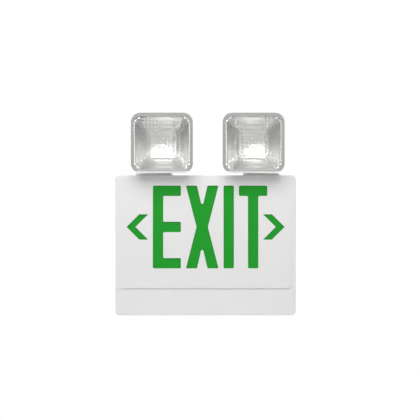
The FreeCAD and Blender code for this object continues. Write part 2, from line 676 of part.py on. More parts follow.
    under = sketch_on(body, "XY_Plane", f"-{TOP}")
    disc(under, "dim.button_radius + dim.button_play", (BUTTON_PLACE, "-dim.button_setback"))
    disc(under, "dim.status_radius + dim.running_clearance",
         (STATUS_PLACE, "-dim.button_setback"))
    for side in (-1, 1):
        disc(under, SCREW_HOLE, (f"{side} * {COVER_SCREW_PLACE}", "-dim.rim_depth / 2"))
    pocket(body, under, "dim.housing_wall + 1", backwards=True)
    low, shank = -half_height, size("screw_radius") + size("screw_grip")
    soften(body, "Chamfer", "dim.housing_wall / 2",
           lambda edge: near(edge.BoundBox.ZMax, low) and isinstance(edge.Curve, Part.Circle)
           and near(edge.Curve.Radius, shank))

    slots = sketch_on(body, "XY_Plane", TOP)
    for side in (-1, 1):
        rectangle(slots, "dim.hook_width + 2 * dim.hook_clearance",
                  "dim.hook_thick + 2 * dim.hook_clearance",
                  (f"{side} * dim.hook_spacing / 2", "-dim.hook_inset"))
    pocket(body, slots, "dim.housing_wall + 1")


# ---------------------------------------------------------------- back plate

def board_standoffs():
    inset = "dim.standoff_inset"
    left, right = BOARD_LEFT, f"({BOARD_LEFT} + dim.gear_board_width)"
    low, high = BOARD_LOW, f"({BOARD_LOW} + dim.gear_board_height)"
    return [(f"{x}", f"{z}") for x in (f"{left} + {inset}", f"{right} - {inset}")
            for z in (f"{low} + {inset}", f"{high} - {inset}")]


STRAP_PLACES = [f"(dim.cell_length * {cells} - {BATTERY_LEFT})" for cells in (0.5, 2.5)]
STRAP_HALF = "(dim.cell_radius + dim.battery_gap + dim.strap_thick + dim.strap_foot / 2)"


def strap_screw_places():
    return [(across, f"{end} * {STRAP_HALF} - {BATTERY_DROP}")
            for across in STRAP_PLACES for end in (-1, 1)]


def build_back_plate():
    body = new_body("back_plate")
    along_y = V(0, 1, 0)
    width = f"2 * ({INNER_SIDE} - dim.plate_clearance)"
    height = f"2 * ({INNER_TOP} - dim.plate_clearance)"
    outside = sketch_on(body, "XZ_Plane")
    rectangle(outside, width, height)
    pad(body, outside, "dim.rim_depth")
    soften(body, "Fillet", "dim.housing_corner - dim.housing_wall",
           lambda edge: straight(edge, along_y))
    inside = sketch_on(body, "XZ_Plane", "dim.rim_depth")
    rectangle(inside, f"{width} - 2 * dim.rim_wall", f"{height} - 2 * dim.rim_wall")
    pocket(body, inside, "dim.rim_depth - dim.plate_thick")

    posts = sketch_on(body, "XZ_Plane", "dim.plate_thick / 2")
    for place in board_standoffs():
        disc(posts, "dim.boss_radius", place)
    pad(body, posts, "dim.standoff_length + dim.plate_thick / 2")
    post_holes = sketch_on(body, "XZ_Plane", BOARD_BACK)
    for place in board_standoffs():
        disc(post_holes, SCREW_HOLE, place)
    pocket(body, post_holes, "dim.standoff_length")

    hooks = sketch_on(body, "XY_Plane", f"{INNER_TOP} - dim.plate_clearance - dim.rim_wall / 2")
    for side in (-1, 1):
        rectangle(hooks, "dim.hook_width", "dim.hook_thick",
                  (f"{side} * dim.hook_spacing / 2", "-dim.hook_inset"))
    pad(body, hooks, "dim.rim_wall / 2 + dim.plate_clearance + dim.housing_wall - dim.hook_clearance")

    through = sketch_on(body, "XZ_Plane", "dim.plate_thick")
    disc(through, "dim.wire_entry / 2")
    for side in (-1, 1):
        disc(through, "dim.box_screw_hole / 2", (f"{side} * dim.round_box_spacing / 2", "0"))
        disc(through, "dim.box_screw_hole / 2", ("0", f"{side} * dim.single_box_spacing / 2"))
        disc(through, "dim.keyhole_entry / 2",
             (f"{side} * dim.keyhole_spacing / 2", "dim.keyhole_height"))
    for place in strap_screw_places():
        disc(through, SCREW_HOLE, place)
    pocket(body, through, "dim.plate_thick + 1")
    slots = sketch_on(body, "XZ_Plane", "dim.plate_thick")
    for side in (-1, 1):
        rectangle(slots, "dim.keyhole_slot", "dim.keyhole_travel",
                  (f"{side} * dim.keyhole_spacing / 2", "dim.keyhole_height + dim.keyhole_travel / 2"))
    pocket(body, slots, "dim.plate_thick + 1")

    rim_holes = sketch_on(body, "XY_Plane", f"dim.plate_clearance - {INNER_TOP}")
    for side in (-1, 1):
        disc(rim_holes, SCREW_HOLE, (f"{side} * {COVER_SCREW_PLACE}", "-dim.rim_depth / 2"))
    pocket(body, rim_holes, "dim.rim_wall + 1", backwards=True)


def build_cover_screws():
    """Two countersunk screws from below, through the cover into the back plate's rim."""
    screws = []
    for side in (-1, 1):
        place = (f"{side} * {COVER_SCREW_PLACE}", "-dim.rim_depth / 2")
        head = doc.addObject("Part::Cone", f"cover_screw_head_{len(screws)}")
        head.setExpression("Radius1", "dim.screw_radius + dim.housing_wall / 2")
        head.setExpression("Radius2", "dim.screw_radius")
        head.setExpression("Height", "dim.housing_wall / 2")
        put(head, *place, f"-{TOP}")
        shank = rod(f"cover_screw_shank_{len(screws)}", "dim.screw_radius",
                    "dim.housing_wall + dim.plate_clearance + 2 * dim.rim_wall",
                    (*place, f"-{TOP}"), V(0, 0, 1))
        recess = rod(f"cover_screw_recess_{len(screws)}", "dim.screw_radius * 0.8",
                     "dim.housing_wall / 3", (*place, f"-{TOP}"), V(0, 0, 1))
        blank = fuse(f"cover_screw_blank_{len(screws)}", [head, shank])
        screws.append(cut(f"cover_screw_{len(screws)}", blank, recess))
    group("cover_screws", screws)


# ---------------------------------------------------------------- sign light

def build_legend_panel():
    """The green sheet, which lies against the leaning wall behind the cut-outs."""
    high = f"(dim.letter_height - dim.letter_drop + dim.legend_margin - {PANEL_TOP})"
    low = f"(-dim.letter_drop - dim.legend_margin - {PANEL_TOP})"
    body = new_body("legend_panel")
    sheet = sketch_on(body, "XZ_Plane")
    rectangle(sheet, f"2 * ({CHEVRON_TIP} + dim.legend_margin)", f"{high} - {low}",
              ("0", f"({high} + {low}) / 2"))
    pad(body, sheet, "dim.legend_thick", backwards=True)
    soften(body, "Fillet", "dim.letter_round", lambda edge: straight(edge, V(0, 1, 0)))
    lean(body, "dim.running_clearance / 2")


TRAY_HIGH = "(dim.panel_top_margin - dim.tray_top_margin)"
TRAY_LOW = f"(-dim.letter_drop - 2 * dim.boss_radius - dim.legend_margin - {PANEL_TOP})"
TRAY_HALF = f"({INNER_SIDE} - dim.housing_corner)"


def build_light_box():
    """A white tray, open to the front, with a flange that holds the legend in place."""
    body = new_body("light_box")
    middle = ("0", f"({TRAY_HIGH} + {TRAY_LOW}) / 2")
    flange = sketch_on(body, "XZ_Plane", f"-{TRAY_FRONT}")
    rectangle(flange, f"2 * {TRAY_HALF}", f"{TRAY_HIGH} - {TRAY_LOW}", middle)
    pad(body, flange, "dim.tray_wall", backwards=True)
    tub = sketch_on(body, "XZ_Plane", f"-{TRAY_FRONT}")
    inset = "(dim.tray_flange + dim.boss_radius)"
    high, low = f"({TRAY_HIGH} - dim.tray_wall)", f"({TRAY_LOW} + {inset})"
    rectangle(tub, f"2 * ({TRAY_HALF} - {inset})", f"{high} - {low}", ("0", f"({high} + {low}) / 2"))
    pad(body, tub, "dim.tray_depth", backwards=True)
    soften(body, "Fillet", "dim.tray_flange", lambda edge: straight(edge, V(0, 1, 0))
           and edge.Length > size("tray_depth") / 2)
    hollow = sketch_on(body, "XZ_Plane", f"-{TRAY_FRONT}")
    rectangle(hollow, f"2 * ({TRAY_HALF} - {inset} - dim.tray_wall)",
              f"{high} - {low} - 2 * dim.tray_wall", ("0", f"({high} + {low}) / 2"))
    pocket(body, hollow, "dim.tray_depth - dim.tray_wall")
    holes = sketch_on(body, "XZ_Plane", f"-{TRAY_FRONT}")
    for across, fall in tray_screw_places():
        disc(holes, SCREW_HOLE, (across, f"-({fall}) / cos({PANEL_LEAN})"))
    pocket(body, holes, "dim.tray_wall + 1")
    lean(body)

    screws = []
    for index, (across, fall) in enumerate(tray_screw_places()):
        seat = (across, f"{TRAY_FRONT} + dim.tray_wall + dim.running_clearance",
                f"-({fall}) / cos({PANEL_LEAN})")
        screws.append(screw(f"tray_screw_{index}", "dim.tray_wall + dim.legend_thick",
                            seat, V(0, -1, 0)))
    lean(group("light_box_screws", screws))


def build_light_strips():
    """Two strips on the tray's back, each with its row of lamps."""
    tray_middle = f"({TRAY_HIGH} + {TRAY_LOW}) / 2"
    floor = f"({TRAY_FRONT} + dim.tray_depth - dim.tray_wall)"
    for name, step in (("upper", 1), ("lower", -1)):
        height = f"{tray_middle} + {step} * dim.strip_spacing / 2"
        strip = block(f"{name}_strip_sheet", "dim.strip_length", "dim.board_thick", "dim.strip_height",
                      ("0", f"{floor} - dim.board_thick / 2", height))
        lean(group(f"{name}_led_strip", [strip]))
        lamps = []
        count = int(size("led_count"))
        for index in range(count):
            across = f"({index} + 0.5 - dim.led_count / 2) * dim.strip_length / dim.led_count"
            lamps.append(block(f"{name}_led_{index}", "dim.led_size", "dim.led_thick", "dim.led_size",
                               (across, f"{floor} - dim.board_thick - dim.led_thick / 2", height)))
        lean(group(f"{name}_strip_leds", lamps))


# ---------------------------------------------------------------- control gear

def build_control_gear():
    board = new_body("control_board")
    sheet = sketch_on(board, "XZ_Plane", BOARD_BACK)
    middle = (f"({BOARD_LEFT} + dim.gear_board_width / 2)",
              f"{BOARD_LOW} + dim.gear_board_height / 2")
    rectangle(sheet, "dim.gear_board_width", "dim.gear_board_height", middle)
    for place in board_standoffs():
        disc(sheet, SCREW_HOLE, place)
    pad(board, sheet, "dim.board_thick")

    group("board_screws", [
        screw(f"board_screw_{index}", "dim.standoff_length - 1",
              (place[0], f"-{BOARD_FRONT}", place[1]), V(0, 1, 0))
        for index, place in enumerate(board_standoffs())])

    def on_board(depth):
        return f"-{BOARD_FRONT} - ({depth}) / 2"

    core_x = f"{middle[0]} - dim.core_inset"
    core_z = middle[1]
    core = block("core", "dim.core_width", "dim.core_depth", "dim.core_height",
                 (core_x, on_board("dim.coil_depth"), core_z))
    coil = block("coil", "dim.core_width * dim.coil_share_wide", "dim.coil_depth",
                 "dim.core_height * dim.coil_share_high",
                 (core_x, on_board("dim.coil_depth"), core_z))
    keep_node(fuse("transformer", [core, coil]), "transformer")

    relay_z = f"{BOARD_LOW} + dim.gear_board_height - dim.standoff_inset - dim.relay_height"
    relay_x = f"{middle[0]} + dim.relay_inset"
    keep_node(block("relay", "dim.relay_width", "dim.relay_depth", "dim.relay_height",
                    (relay_x, on_board("dim.relay_depth"), relay_z)), "relay")
    group("capacitors", [
        rod(f"capacitor_{index}", "dim.capacitor_radius", "dim.capacitor_length",
            (f"{relay_x} + ({index} - (dim.capacitor_count - 1) / 2) * dim.capacitor_pitch",
             f"-{BOARD_FRONT}",
             f"{relay_z} - dim.relay_height / 2 - dim.capacitor_radius - dim.capacitor_gap"),
            V(0, -1, 0))
        for index in range(int(size("capacitor_count")))])

    keep_node(block("test_switch", "dim.switch_side",
                    f"dim.button_setback + dim.switch_reach - {BOARD_FRONT}",
                    "dim.switch_side / 2",
                    (BUTTON_PLACE, f"-({BOARD_FRONT} + dim.button_setback + dim.switch_reach) / 2",
                     f"{BOARD_LOW} + dim.switch_side / 4")), "test_switch")
    keep_node(block("status_led", "dim.led_size",
                    f"dim.button_setback + dim.status_rise - {BOARD_FRONT}",
                    "dim.led_size",
                    (STATUS_PLACE, f"-({BOARD_FRONT} + dim.button_setback + dim.status_rise) / 2",
                     f"{BOARD_LOW} + dim.led_size / 2")), "status_led")

    button = new_body("test_button")
    half = sketch_on(button, "XZ_Plane")
    flange_low = "dim.housing_wall + dim.seat_gap"
    stem_top = "dim.housing_wall + dim.gear_board_lift - dim.button_travel - dim.seat_gap"
    outline(half, [("0", "dim.face_recess"), ("dim.button_radius", "dim.face_recess"),
                   ("dim.button_radius", flange_low),
                   ("dim.button_radius + dim.flange_step", flange_low),
                   ("dim.button_radius + dim.flange_step", f"{flange_low} + dim.flange_thick"),
                   ("dim.button_radius / 2", f"{flange_low} + dim.flange_thick"),
                   ("dim.button_radius / 2", stem_top), ("0", stem_top)])
    revolve(button, half)
    put(button, BUTTON_PLACE, "-dim.button_setback", f"-{TOP}")

    pipe = new_body("status_lens")
    half = sketch_on(pipe, "XZ_Plane")
    collar_low = "dim.housing_wall"
    pipe_top = f"{collar_low} + dim.gear_board_lift - dim.seat_gap"
    outline(half, [("0", "dim.light_recess"), ("dim.status_radius", "dim.light_recess"),
                   ("dim.status_radius", collar_low),
                   ("dim.status_radius + dim.flange_thick", collar_low),
                   ("dim.status_radius + dim.flange_thick", f"{collar_low} + dim.flange_thick"),
                   ("dim.status_radius", f"{collar_low} + dim.flange_thick"),
                   ("dim.status_radius", pipe_top), ("0", pipe_top)])
    revolve(pipe, half)
    put(pipe, STATUS_PLACE, "-dim.button_setback", f"-{TOP}")

    terminal = new_body("terminal_block")
    across, height = middle[0], f"-dim.single_box_spacing / 4"
    base = sketch_on(terminal, "XZ_Plane", "dim.plate_thick")
    rectangle(base, "dim.terminal_width", "dim.terminal_height", (across, height))
    pad(terminal, base, "dim.terminal_depth")
    ways = sketch_on(terminal, "XZ_Plane", "dim.plate_thick + dim.terminal_depth")
    for index in range(int(size("terminal_ways"))):
        step = f"({index} + 0.5 - dim.terminal_ways / 2) * dim.terminal_width / dim.terminal_ways"
        disc(ways, "dim.terminal_height / 4", (f"{across} + {step}", height))
    pocket(terminal, ways, "dim.terminal_depth / 2")


# ---------------------------------------------------------------- battery

def build_battery():
    """Cells end to end in one shrink sleeve that dips where two cells meet."""
    pack = new_body("battery_pack")
    half = sketch_on(pack, "XZ_Plane")
    corners = [("0", "0"), ("dim.cell_radius - dim.cell_waist", "0"),
               ("dim.cell_radius", "dim.cell_waist")]
    for cell in range(1, int(size("cell_count"))):
        joint = f"dim.cell_length * {cell}"
        corners.append(("dim.cell_radius", f"{joint} - 2 * dim.cell_waist"))
        corners.append(("dim.cell_radius - dim.cell_waist", joint))
        corners.append(("dim.cell_radius", f"{joint} + 2 * dim.cell_waist"))
    end = "dim.cell_length * dim.cell_count"
    corners.append(("dim.cell_radius", f"{end} - dim.cell_waist"))
    corners.append(("dim.cell_radius - dim.cell_waist", end))
    corners.append(("0", end))
    outline(half, corners)
    revolve(pack, half)
    pack.Placement = FreeCAD.Placement(V(), FreeCAD.Rotation(V(0, 1, 0), 90))
    put(pack, f"-{BATTERY_LEFT}", f"-{BATTERY_DEPTH}", f"-{BATTERY_DROP}")

    inner = "dim.cell_radius + dim.battery_gap"
    outer = f"{inner} + dim.strap_thick"
    for name, across in zip(("left", "right"), STRAP_PLACES):
        strap = new_body(f"{name}_battery_strap")
        ring = sketch_on(strap, "YZ_Plane", across)
        disc(ring, outer, (f"-{BATTERY_DEPTH}", f"-{BATTERY_DROP}"))
        pad(strap, ring, "dim.strap_width", both_ways=True)
        feet = sketch_on(strap, "YZ_Plane", across)
        rectangle(feet, "dim.strap_thick", f"2 * ({outer} + dim.strap_foot)",
                  ("-dim.plate_thick - dim.strap_thick / 2", f"-{BATTERY_DROP}"))
        pad(strap, feet, "dim.strap_width", both_ways=True)
        legs = sketch_on(strap, "YZ_Plane", across)
        rectangle(legs, f"{BATTERY_DEPTH} - dim.plate_thick", f"2 * ({outer})",
                  (f"-({BATTERY_DEPTH} + dim.plate_thick) / 2", f"-{BATTERY_DROP}"))
        pad(strap, legs, "dim.strap_width", both_ways=True)
        room = sketch_on(strap, "YZ_Plane", across)
        disc(room, inner, (f"-{BATTERY_DEPTH}", f"-{BATTERY_DROP}"))
        pocket(strap, room, "dim.strap_width + 1", both_ways=True)
        throat = sketch_on(strap, "YZ_Plane", across)
        rectangle(throat, BATTERY_DEPTH, f"2 * ({inner})",
                  (f"-{BATTERY_DEPTH} / 2", f"-{BATTERY_DROP}"))
        pocket(strap, throat, "dim.strap_width + 1", both_ways=True)
        holes = sketch_on(strap, "XZ_Plane", "dim.plate_thick + dim.strap_thick")
        for place in strap_screw_places():
            if place[0] == across:
                disc(holes, SCREW_HOLE, place)
        pocket(strap, holes, "dim.strap_thick + 1")
    group("strap_screws", [
        screw(f"strap_screw_{index}", "dim.strap_thick + dim.plate_thick - dim.seat_gap",
              (place[0], "-dim.plate_thick - dim.strap_thick", place[1]), V(0, 1, 0))
        for index, place in enumerate(strap_screw_places())])


# ---------------------------------------------------------------- swivels

def build_tilt_drum(name, side, place):
    """The drum that tilts in the top wall, with the hollow neck that the head turns on."""
    body = new_body(f"{name}_tilt_drum")
    barrel = sketch_on(body, "YZ_Plane", drum_middle(side, place))
    disc(barrel, "dim.drum_radius", (f"-{TILT_AXIS_DEPTH}", TILT_AXIS_HEIGHT))
    pad(body, barrel, DRUM_LENGTH, both_ways=True)
    low = f"{TILT_AXIS_HEIGHT} + dim.neck_flange_low"
    plate = sketch_on(body, "XY_Plane", low)
    disc(plate, "dim.neck_flange_radius", (place, f"-{TILT_AXIS_DEPTH}"))
    pad(body, plate, "dim.neck_flange_thick")
    stem = sketch_on(body, "XY_Plane", TILT_AXIS_HEIGHT)
    disc(stem, "dim.neck_radius", (place, f"-{TILT_AXIS_DEPTH}"))
    neck_top = f"({COLLAR_TOP} + dim.washer_play + dim.clip_thick + dim.neck_tip)"
    pad(body, stem, f"{neck_top} - {TILT_AXIS_HEIGHT}")
    groove = sketch_on(body, "XY_Plane", f"{COLLAR_TOP} + dim.washer_play + dim.clip_thick")
    disc(groove, "dim.neck_radius + 1", (place, f"-{TILT_AXIS_DEPTH}"))
    disc(groove, "dim.neck_radius - dim.clip_groove", (place, f"-{TILT_AXIS_DEPTH}"))
    pocket(body, groove, "dim.clip_thick")
    lead_way = sketch_on(body, "XY_Plane", neck_top)
    disc(lead_way, "dim.neck_bore", (place, f"-{TILT_AXIS_DEPTH}"))
    pocket(body, lead_way, f"{neck_top} - {TILT_AXIS_HEIGHT} + 2 * dim.drum_radius")

    washer = new_body(f"{name}_pan_washer")
    ring = sketch_on(washer, "XY_Plane", f"{low} + dim.neck_flange_thick")
    disc(ring, "dim.neck_flange_radius", (place, f"-{TILT_AXIS_DEPTH}"))
    disc(ring, "dim.neck_radius + dim.running_clearance", (place, f"-{TILT_AXIS_DEPTH}"))
    pad(washer, ring, "dim.washer_thick")

    clip = new_body(f"{name}_neck_clip")
    ring = sketch_on(clip, "XY_Plane", f"{COLLAR_TOP} + dim.washer_play")
    disc(ring, "dim.clip_radius", (place, f"-{TILT_AXIS_DEPTH}"))
    disc(ring, "dim.neck_radius - dim.clip_groove + dim.running_clearance / 2",
         (place, f"-{TILT_AXIS_DEPTH}"))
    pad(clip, ring, "dim.clip_thick")
    mouth = sketch_on(clip, "XY_Plane", f"{COLLAR_TOP} + dim.washer_play + dim.clip_thick")
    rectangle(mouth, "dim.neck_radius * dim.clip_mouth", "dim.clip_radius + 1",
              (place, f"(dim.clip_radius + 1) / 2 - {TILT_AXIS_DEPTH}"))
    pocket(clip, mouth, "dim.clip_thick")


def build_saddle(name, side, place):
    """The bar that presses the drum up into its window, with an ear at each end."""
    body = new_body(f"{name}_drum_saddle")
    middle = drum_middle(side, place)
    ear_top = f"({INNER_TOP} - {BOSS_HEIGHT})"
    low = f"({TILT_AXIS_HEIGHT} - dim.drum_radius - dim.running_clearance - dim.saddle_thick)"
    bar = sketch_on(body, "XZ_Plane", f"{TILT_AXIS_DEPTH} + dim.saddle_width / 2")
    length = f"{DRUM_LENGTH} + 2 * dim.saddle_ear + 2 * dim.end_clearance"
    rectangle(bar, length, f"{ear_top} - {low}", (middle, f"({ear_top} + {low}) / 2"))
    pad(body, bar, "dim.saddle_width", backwards=True)
    seat = sketch_on(body, "YZ_Plane", middle)
    disc(seat, "dim.drum_radius + dim.running_clearance", (f"-{TILT_AXIS_DEPTH}", TILT_AXIS_HEIGHT))
    pocket(body, seat, f"{DRUM_LENGTH} + 2 * dim.end_clearance", both_ways=True)
    half_drum = size("drum_outboard") / 2 + size("drum_inboard") / 2 + size("end_clearance")
    centre = float(size(f"{name}_head_place")) + side * (size("drum_outboard") - size("drum_inboard")) / 2
    soften(body, "Fillet", "dim.saddle_width / 4",
           lambda edge: straight(edge, V(0, 0, 1)) and abs(edge.BoundBox.Center.x - centre) > half_drum + 1)
    holes = sketch_on(body, "XY_Plane", ear_top)
    reach = f"({DRUM_LENGTH} / 2 + dim.saddle_ear / 2 + dim.end_clearance)"
    for end in (-1, 1):
        disc(holes, SCREW_HOLE, (f"{middle} + {end} * {reach}", f"-{TILT_AXIS_DEPTH}"))
    pocket(body, holes, f"{ear_top} - {low} + 1")
    # the bore under the neck lets the leads out of the drum
    outlet = sketch_on(body, "XY_Plane", ear_top)
    disc(outlet, "dim.neck_bore", (place, f"-{TILT_AXIS_DEPTH}"))
    pocket(body, outlet, f"{ear_top} - {low} + 1")


def build_saddle_screws():
    low = f"({TILT_AXIS_HEIGHT} - dim.drum_radius - dim.running_clearance - dim.saddle_thick)"
    grip = f"{INNER_TOP} - dim.housing_wall - {low}"
    group("saddle_screws", [
        screw(f"saddle_screw_{index}", grip, (across, f"-{TILT_AXIS_DEPTH}", low), V(0, 0, 1))
        for index, across in enumerate(saddle_screw_places())])


# ---------------------------------------------------------------- lamp heads

def taper(body, front, back, mouth, end, corner, bevel):
    """A block that narrows on all four sides from its mouth in front to its end behind."""
    mouth_width, mouth_height = mouth
    end_width, end_height = end
    profile = sketch_on(body, "YZ_Plane")
    outline(profile, [(f"-{front}", f"{HEAD_MIDDLE} - {mouth_height} / 2"),
                      (f"-{back}", f"{HEAD_MIDDLE} - {end_height} / 2"),
                      (f"-{back}", f"{HEAD_MIDDLE} + {end_height} / 2"),
                      (f"-{front}", f"{HEAD_MIDDLE} + {mouth_height} / 2")])
    pad(body, profile, mouth_width, both_ways=True)
    for side in (-1, 1):
        waste = sketch_on(body, "XY_Plane", HEAD_MIDDLE)
        outline(waste, [(f"{side} * {mouth_width} / 2", f"-{front}"),
                        (f"{side} * {end_width} / 2", f"-{back}"),
                        (f"{side} * {mouth_width} / 2", f"-{back}")])
        pocket(body, waste, "2 * dim.head_height", both_ways=True)
    long_edge = size("head_depth") / 2
    soften(body, "Fillet", corner, lambda edge: edge.BoundBox.YLength > long_edge)
    plane = max(corner.Point.y for corner in body.Shape.Vertexes)
    soften(body, "Chamfer", bevel, lambda edge: near(edge.BoundBox.YMin, plane))


def build_head_shell(name, place):
    """A square rim round the lens and a shell that tapers to the back, open to the front."""
    body = new_body(f"{name}_head_shell")
    middle = ("0", HEAD_MIDDLE)
    front = f"({HEAD_FRONT} - dim.rim_length)"
    mouth = [f"(dim.{side} - 2 * dim.shell_step)" for side in ("head_width", "head_height")]
    end = ["(dim.head_width - 2 * dim.back_side_step)", "(dim.head_height - 2 * dim.back_top_step)"]
    taper(body, front, f"({HEAD_FRONT} - dim.head_depth)", mouth, end,
          "dim.shell_corner", "dim.back_round")
    room = doc.addObject("PartDesign::Body", f"{name}_head_room")
    mouth = [f"({side} - 2 * dim.shell_wall)" for side in mouth]
    taper(room, front, f"({HEAD_FRONT} - dim.head_depth + dim.shell_wall)", mouth,
          [f"({side} - 2 * dim.shell_wall)" for side in end],
          "(dim.shell_corner - dim.shell_wall)", "dim.back_round / 2")
    hollow = body.newObject("PartDesign::Boolean", "Boolean")
    hollow.Type = "Cut"
    hollow.addObject(room)
    doc.recompute()

    rim = sketch_on(body, "XZ_Plane", HEAD_FRONT)
    rounded(rim, "dim.head_width", "dim.head_height", "dim.head_corner", middle)
    rounded(rim, LENS_WIDTH, LENS_HEIGHT, "dim.head_corner - dim.lens_border", middle)
    pad(body, rim, "dim.rim_length", backwards=True)
    ledge = sketch_on(body, "XZ_Plane", front)
    rounded(ledge, "dim.head_width - dim.lens_border", "dim.head_height - dim.lens_border",
            "dim.head_corner - dim.lens_border / 2", middle)
    rounded(ledge, *mouth, "dim.shell_corner - dim.shell_wall", middle)
    pad(body, ledge, f"dim.rim_length - {SEAT_DEPTH}")

    collar = sketch_on(body, "XY_Plane", COLLAR_LOW)
    disc(collar, "dim.collar_radius", ("0", f"-{TILT_AXIS_DEPTH}"))
    pad(body, collar, "dim.collar_height")
    bore = sketch_on(body, "XY_Plane", COLLAR_TOP)
    disc(bore, "dim.neck_radius + dim.running_clearance", ("0", f"-{TILT_AXIS_DEPTH}"))
    pocket(body, bore, "dim.collar_height")
    clip_room = sketch_on(body, "XY_Plane", COLLAR_TOP)
    disc(clip_room, "dim.clip_radius + dim.end_clearance", ("0", f"-{TILT_AXIS_DEPTH}"))
    pocket(body, clip_room, "dim.clip_thick + dim.neck_tip", backwards=True)
    put(body, place)


def bowl_solid(grow, back_grow):
    """Parabolic dish of flat facets cut by four flat sloping walls, mouth at Y = 0, vertex at +Y."""
    depth = size("bowl_depth") + back_grow
    border = size("shell_step") + size("shell_wall") + size("bowl_wall") + size("bowl_gap") - grow
    half_width, half_height = size("head_width") / 2 - border, size("head_height") / 2 - border
    reach = math.sqrt(4 * size("bowl_focus") * depth)
    steps, sides = int(size("bowl_rings")), int(size("bowl_sides"))

    def ring(step):
        radius, place = reach * math.sqrt(step / steps), depth * (1 - step / steps)
        turns = [2 * math.pi * (side + 0.5) / sides for side in range(sides)]
        return [V(radius * math.cos(turn), place, radius * math.sin(turn)) for turn in turns]

    def face(*points):
        return Part.Face(Part.makePolygon([*points, points[0]]))

    faces = [face(*ring(steps))]
    for step in range(1, steps):
        inner, outer = ring(step), ring(step + 1)
        faces += [face(inner[i - 1], inner[i], outer[i], outer[i - 1]) for i in range(sides)]
    tip, first = V(0, depth, 0), ring(1)
    faces += [face(tip, first[i - 1], first[i]) for i in range(sides)]
    dish = Part.Solid(Part.Shell(faces))
    run = depth / size("bowl_slope")
    side_view = face(V(0, 0, -half_height), V(0, 0, half_height),
                     V(0, depth, half_height - run), V(0, depth, run - half_height))
    plan_view = face(V(-half_width, 0, 0), V(half_width, 0, 0),
                     V(half_width - run, depth, 0), V(run - half_width, depth, 0))
    upright = side_view.extrude(V(2 * half_width, 0, 0))
    upright.translate(V(-half_width, 0, 0))
    level = plan_view.extrude(V(0, 0, 2 * half_height))
    level.translate(V(0, 0, -half_height))
    return dish.common(upright.common(level))


def build_reflector(name, place):
    """The silvered bowl: a paraboloid cut by four flat walls, with a flange under the lens."""
    wall, flange = size("bowl_wall"), size("bowl_flange")
    inner = bowl_solid(0, 0)
    outer = bowl_solid(wall, wall)
    width = size("head_width") - 2 * size("lens_border") - 2 * size("lens_clearance")
    height = size("head_height") - 2 * size("lens_border") - 2 * size("lens_clearance")
    plate = Part.makeBox(width, flange, height, V(-width / 2, 0, -height / 2))
    corners = [edge for edge in plate.Edges if straight(edge, V(0, 1, 0))]
    plate = plate.makeFillet(size("head_corner") - size("lens_border") - size("lens_clearance"), corners)
    hole = Part.makeCylinder(size("lamp_hole"), 4 * wall, V(0, size("bowl_depth") - wall, 0), V(0, 1, 0))
    shape = plate.fuse(outer).cut(inner).cut(hole).removeSplitter()
    reflector = doc.addObject("Part::Feature", f"{name}_reflector")
    reflector.Shape = shape.Solids[0]
    keep_node(reflector, f"{name}_reflector")
    put(reflector, place, f"-{LENS_BACK}", HEAD_MIDDLE)


def build_lens(name, place):
    """A clear plate whose inner face is cut both ways into a field of small prisms."""
    body = new_body(f"{name}_lens")
    plate = sketch_on(body, "XZ_Plane", LENS_BACK)
    width = f"({LENS_WIDTH} - 2 * dim.lens_clearance)"
    height = f"({LENS_HEIGHT} - 2 * dim.lens_clearance)"
    rectangle(plate, width, height)
    pad(body, plate, "dim.lens_thick")
    soften(body, "Fillet", "dim.head_corner - dim.lens_border - dim.lens_clearance",
           lambda edge: straight(edge, V(0, 1, 0)))
    columns = f"floor({width} / dim.prism_pitch)"
    rows = f"floor({height} / dim.prism_pitch)"
    back = f"-{LENS_BACK}"
    half = "dim.prism_pitch * dim.groove_share"
    upright = sketch_on(body, "XY_Plane")
    left = f"-({columns} - 2) / 2 * dim.prism_pitch"
    outline(upright, [(f"{left} - {half}", f"{back}"), (f"{left} + {half}", f"{back}"),
                      (left, f"{back} - dim.prism_depth")])
    first = pocket(body, upright, f"{height} + 2", both_ways=True)
    repeat(body, first, "X_Axis", f"({columns} - 2) * dim.prism_pitch", f"{columns} - 1")
    level = sketch_on(body, "YZ_Plane")
    low = f"-({rows} - 2) / 2 * dim.prism_pitch"
    outline(level, [(f"{back}", f"{low} - {half}"), (f"{back}", f"{low} + {half}"),
                    (f"{back} - dim.prism_depth", low)])
    first = pocket(body, level, f"{width} + 2", both_ways=True)
    repeat(body, first, "Z_Axis", f"({rows} - 2) * dim.prism_pitch", f"{rows} - 1")
    put(body, place, "0", HEAD_MIDDLE)


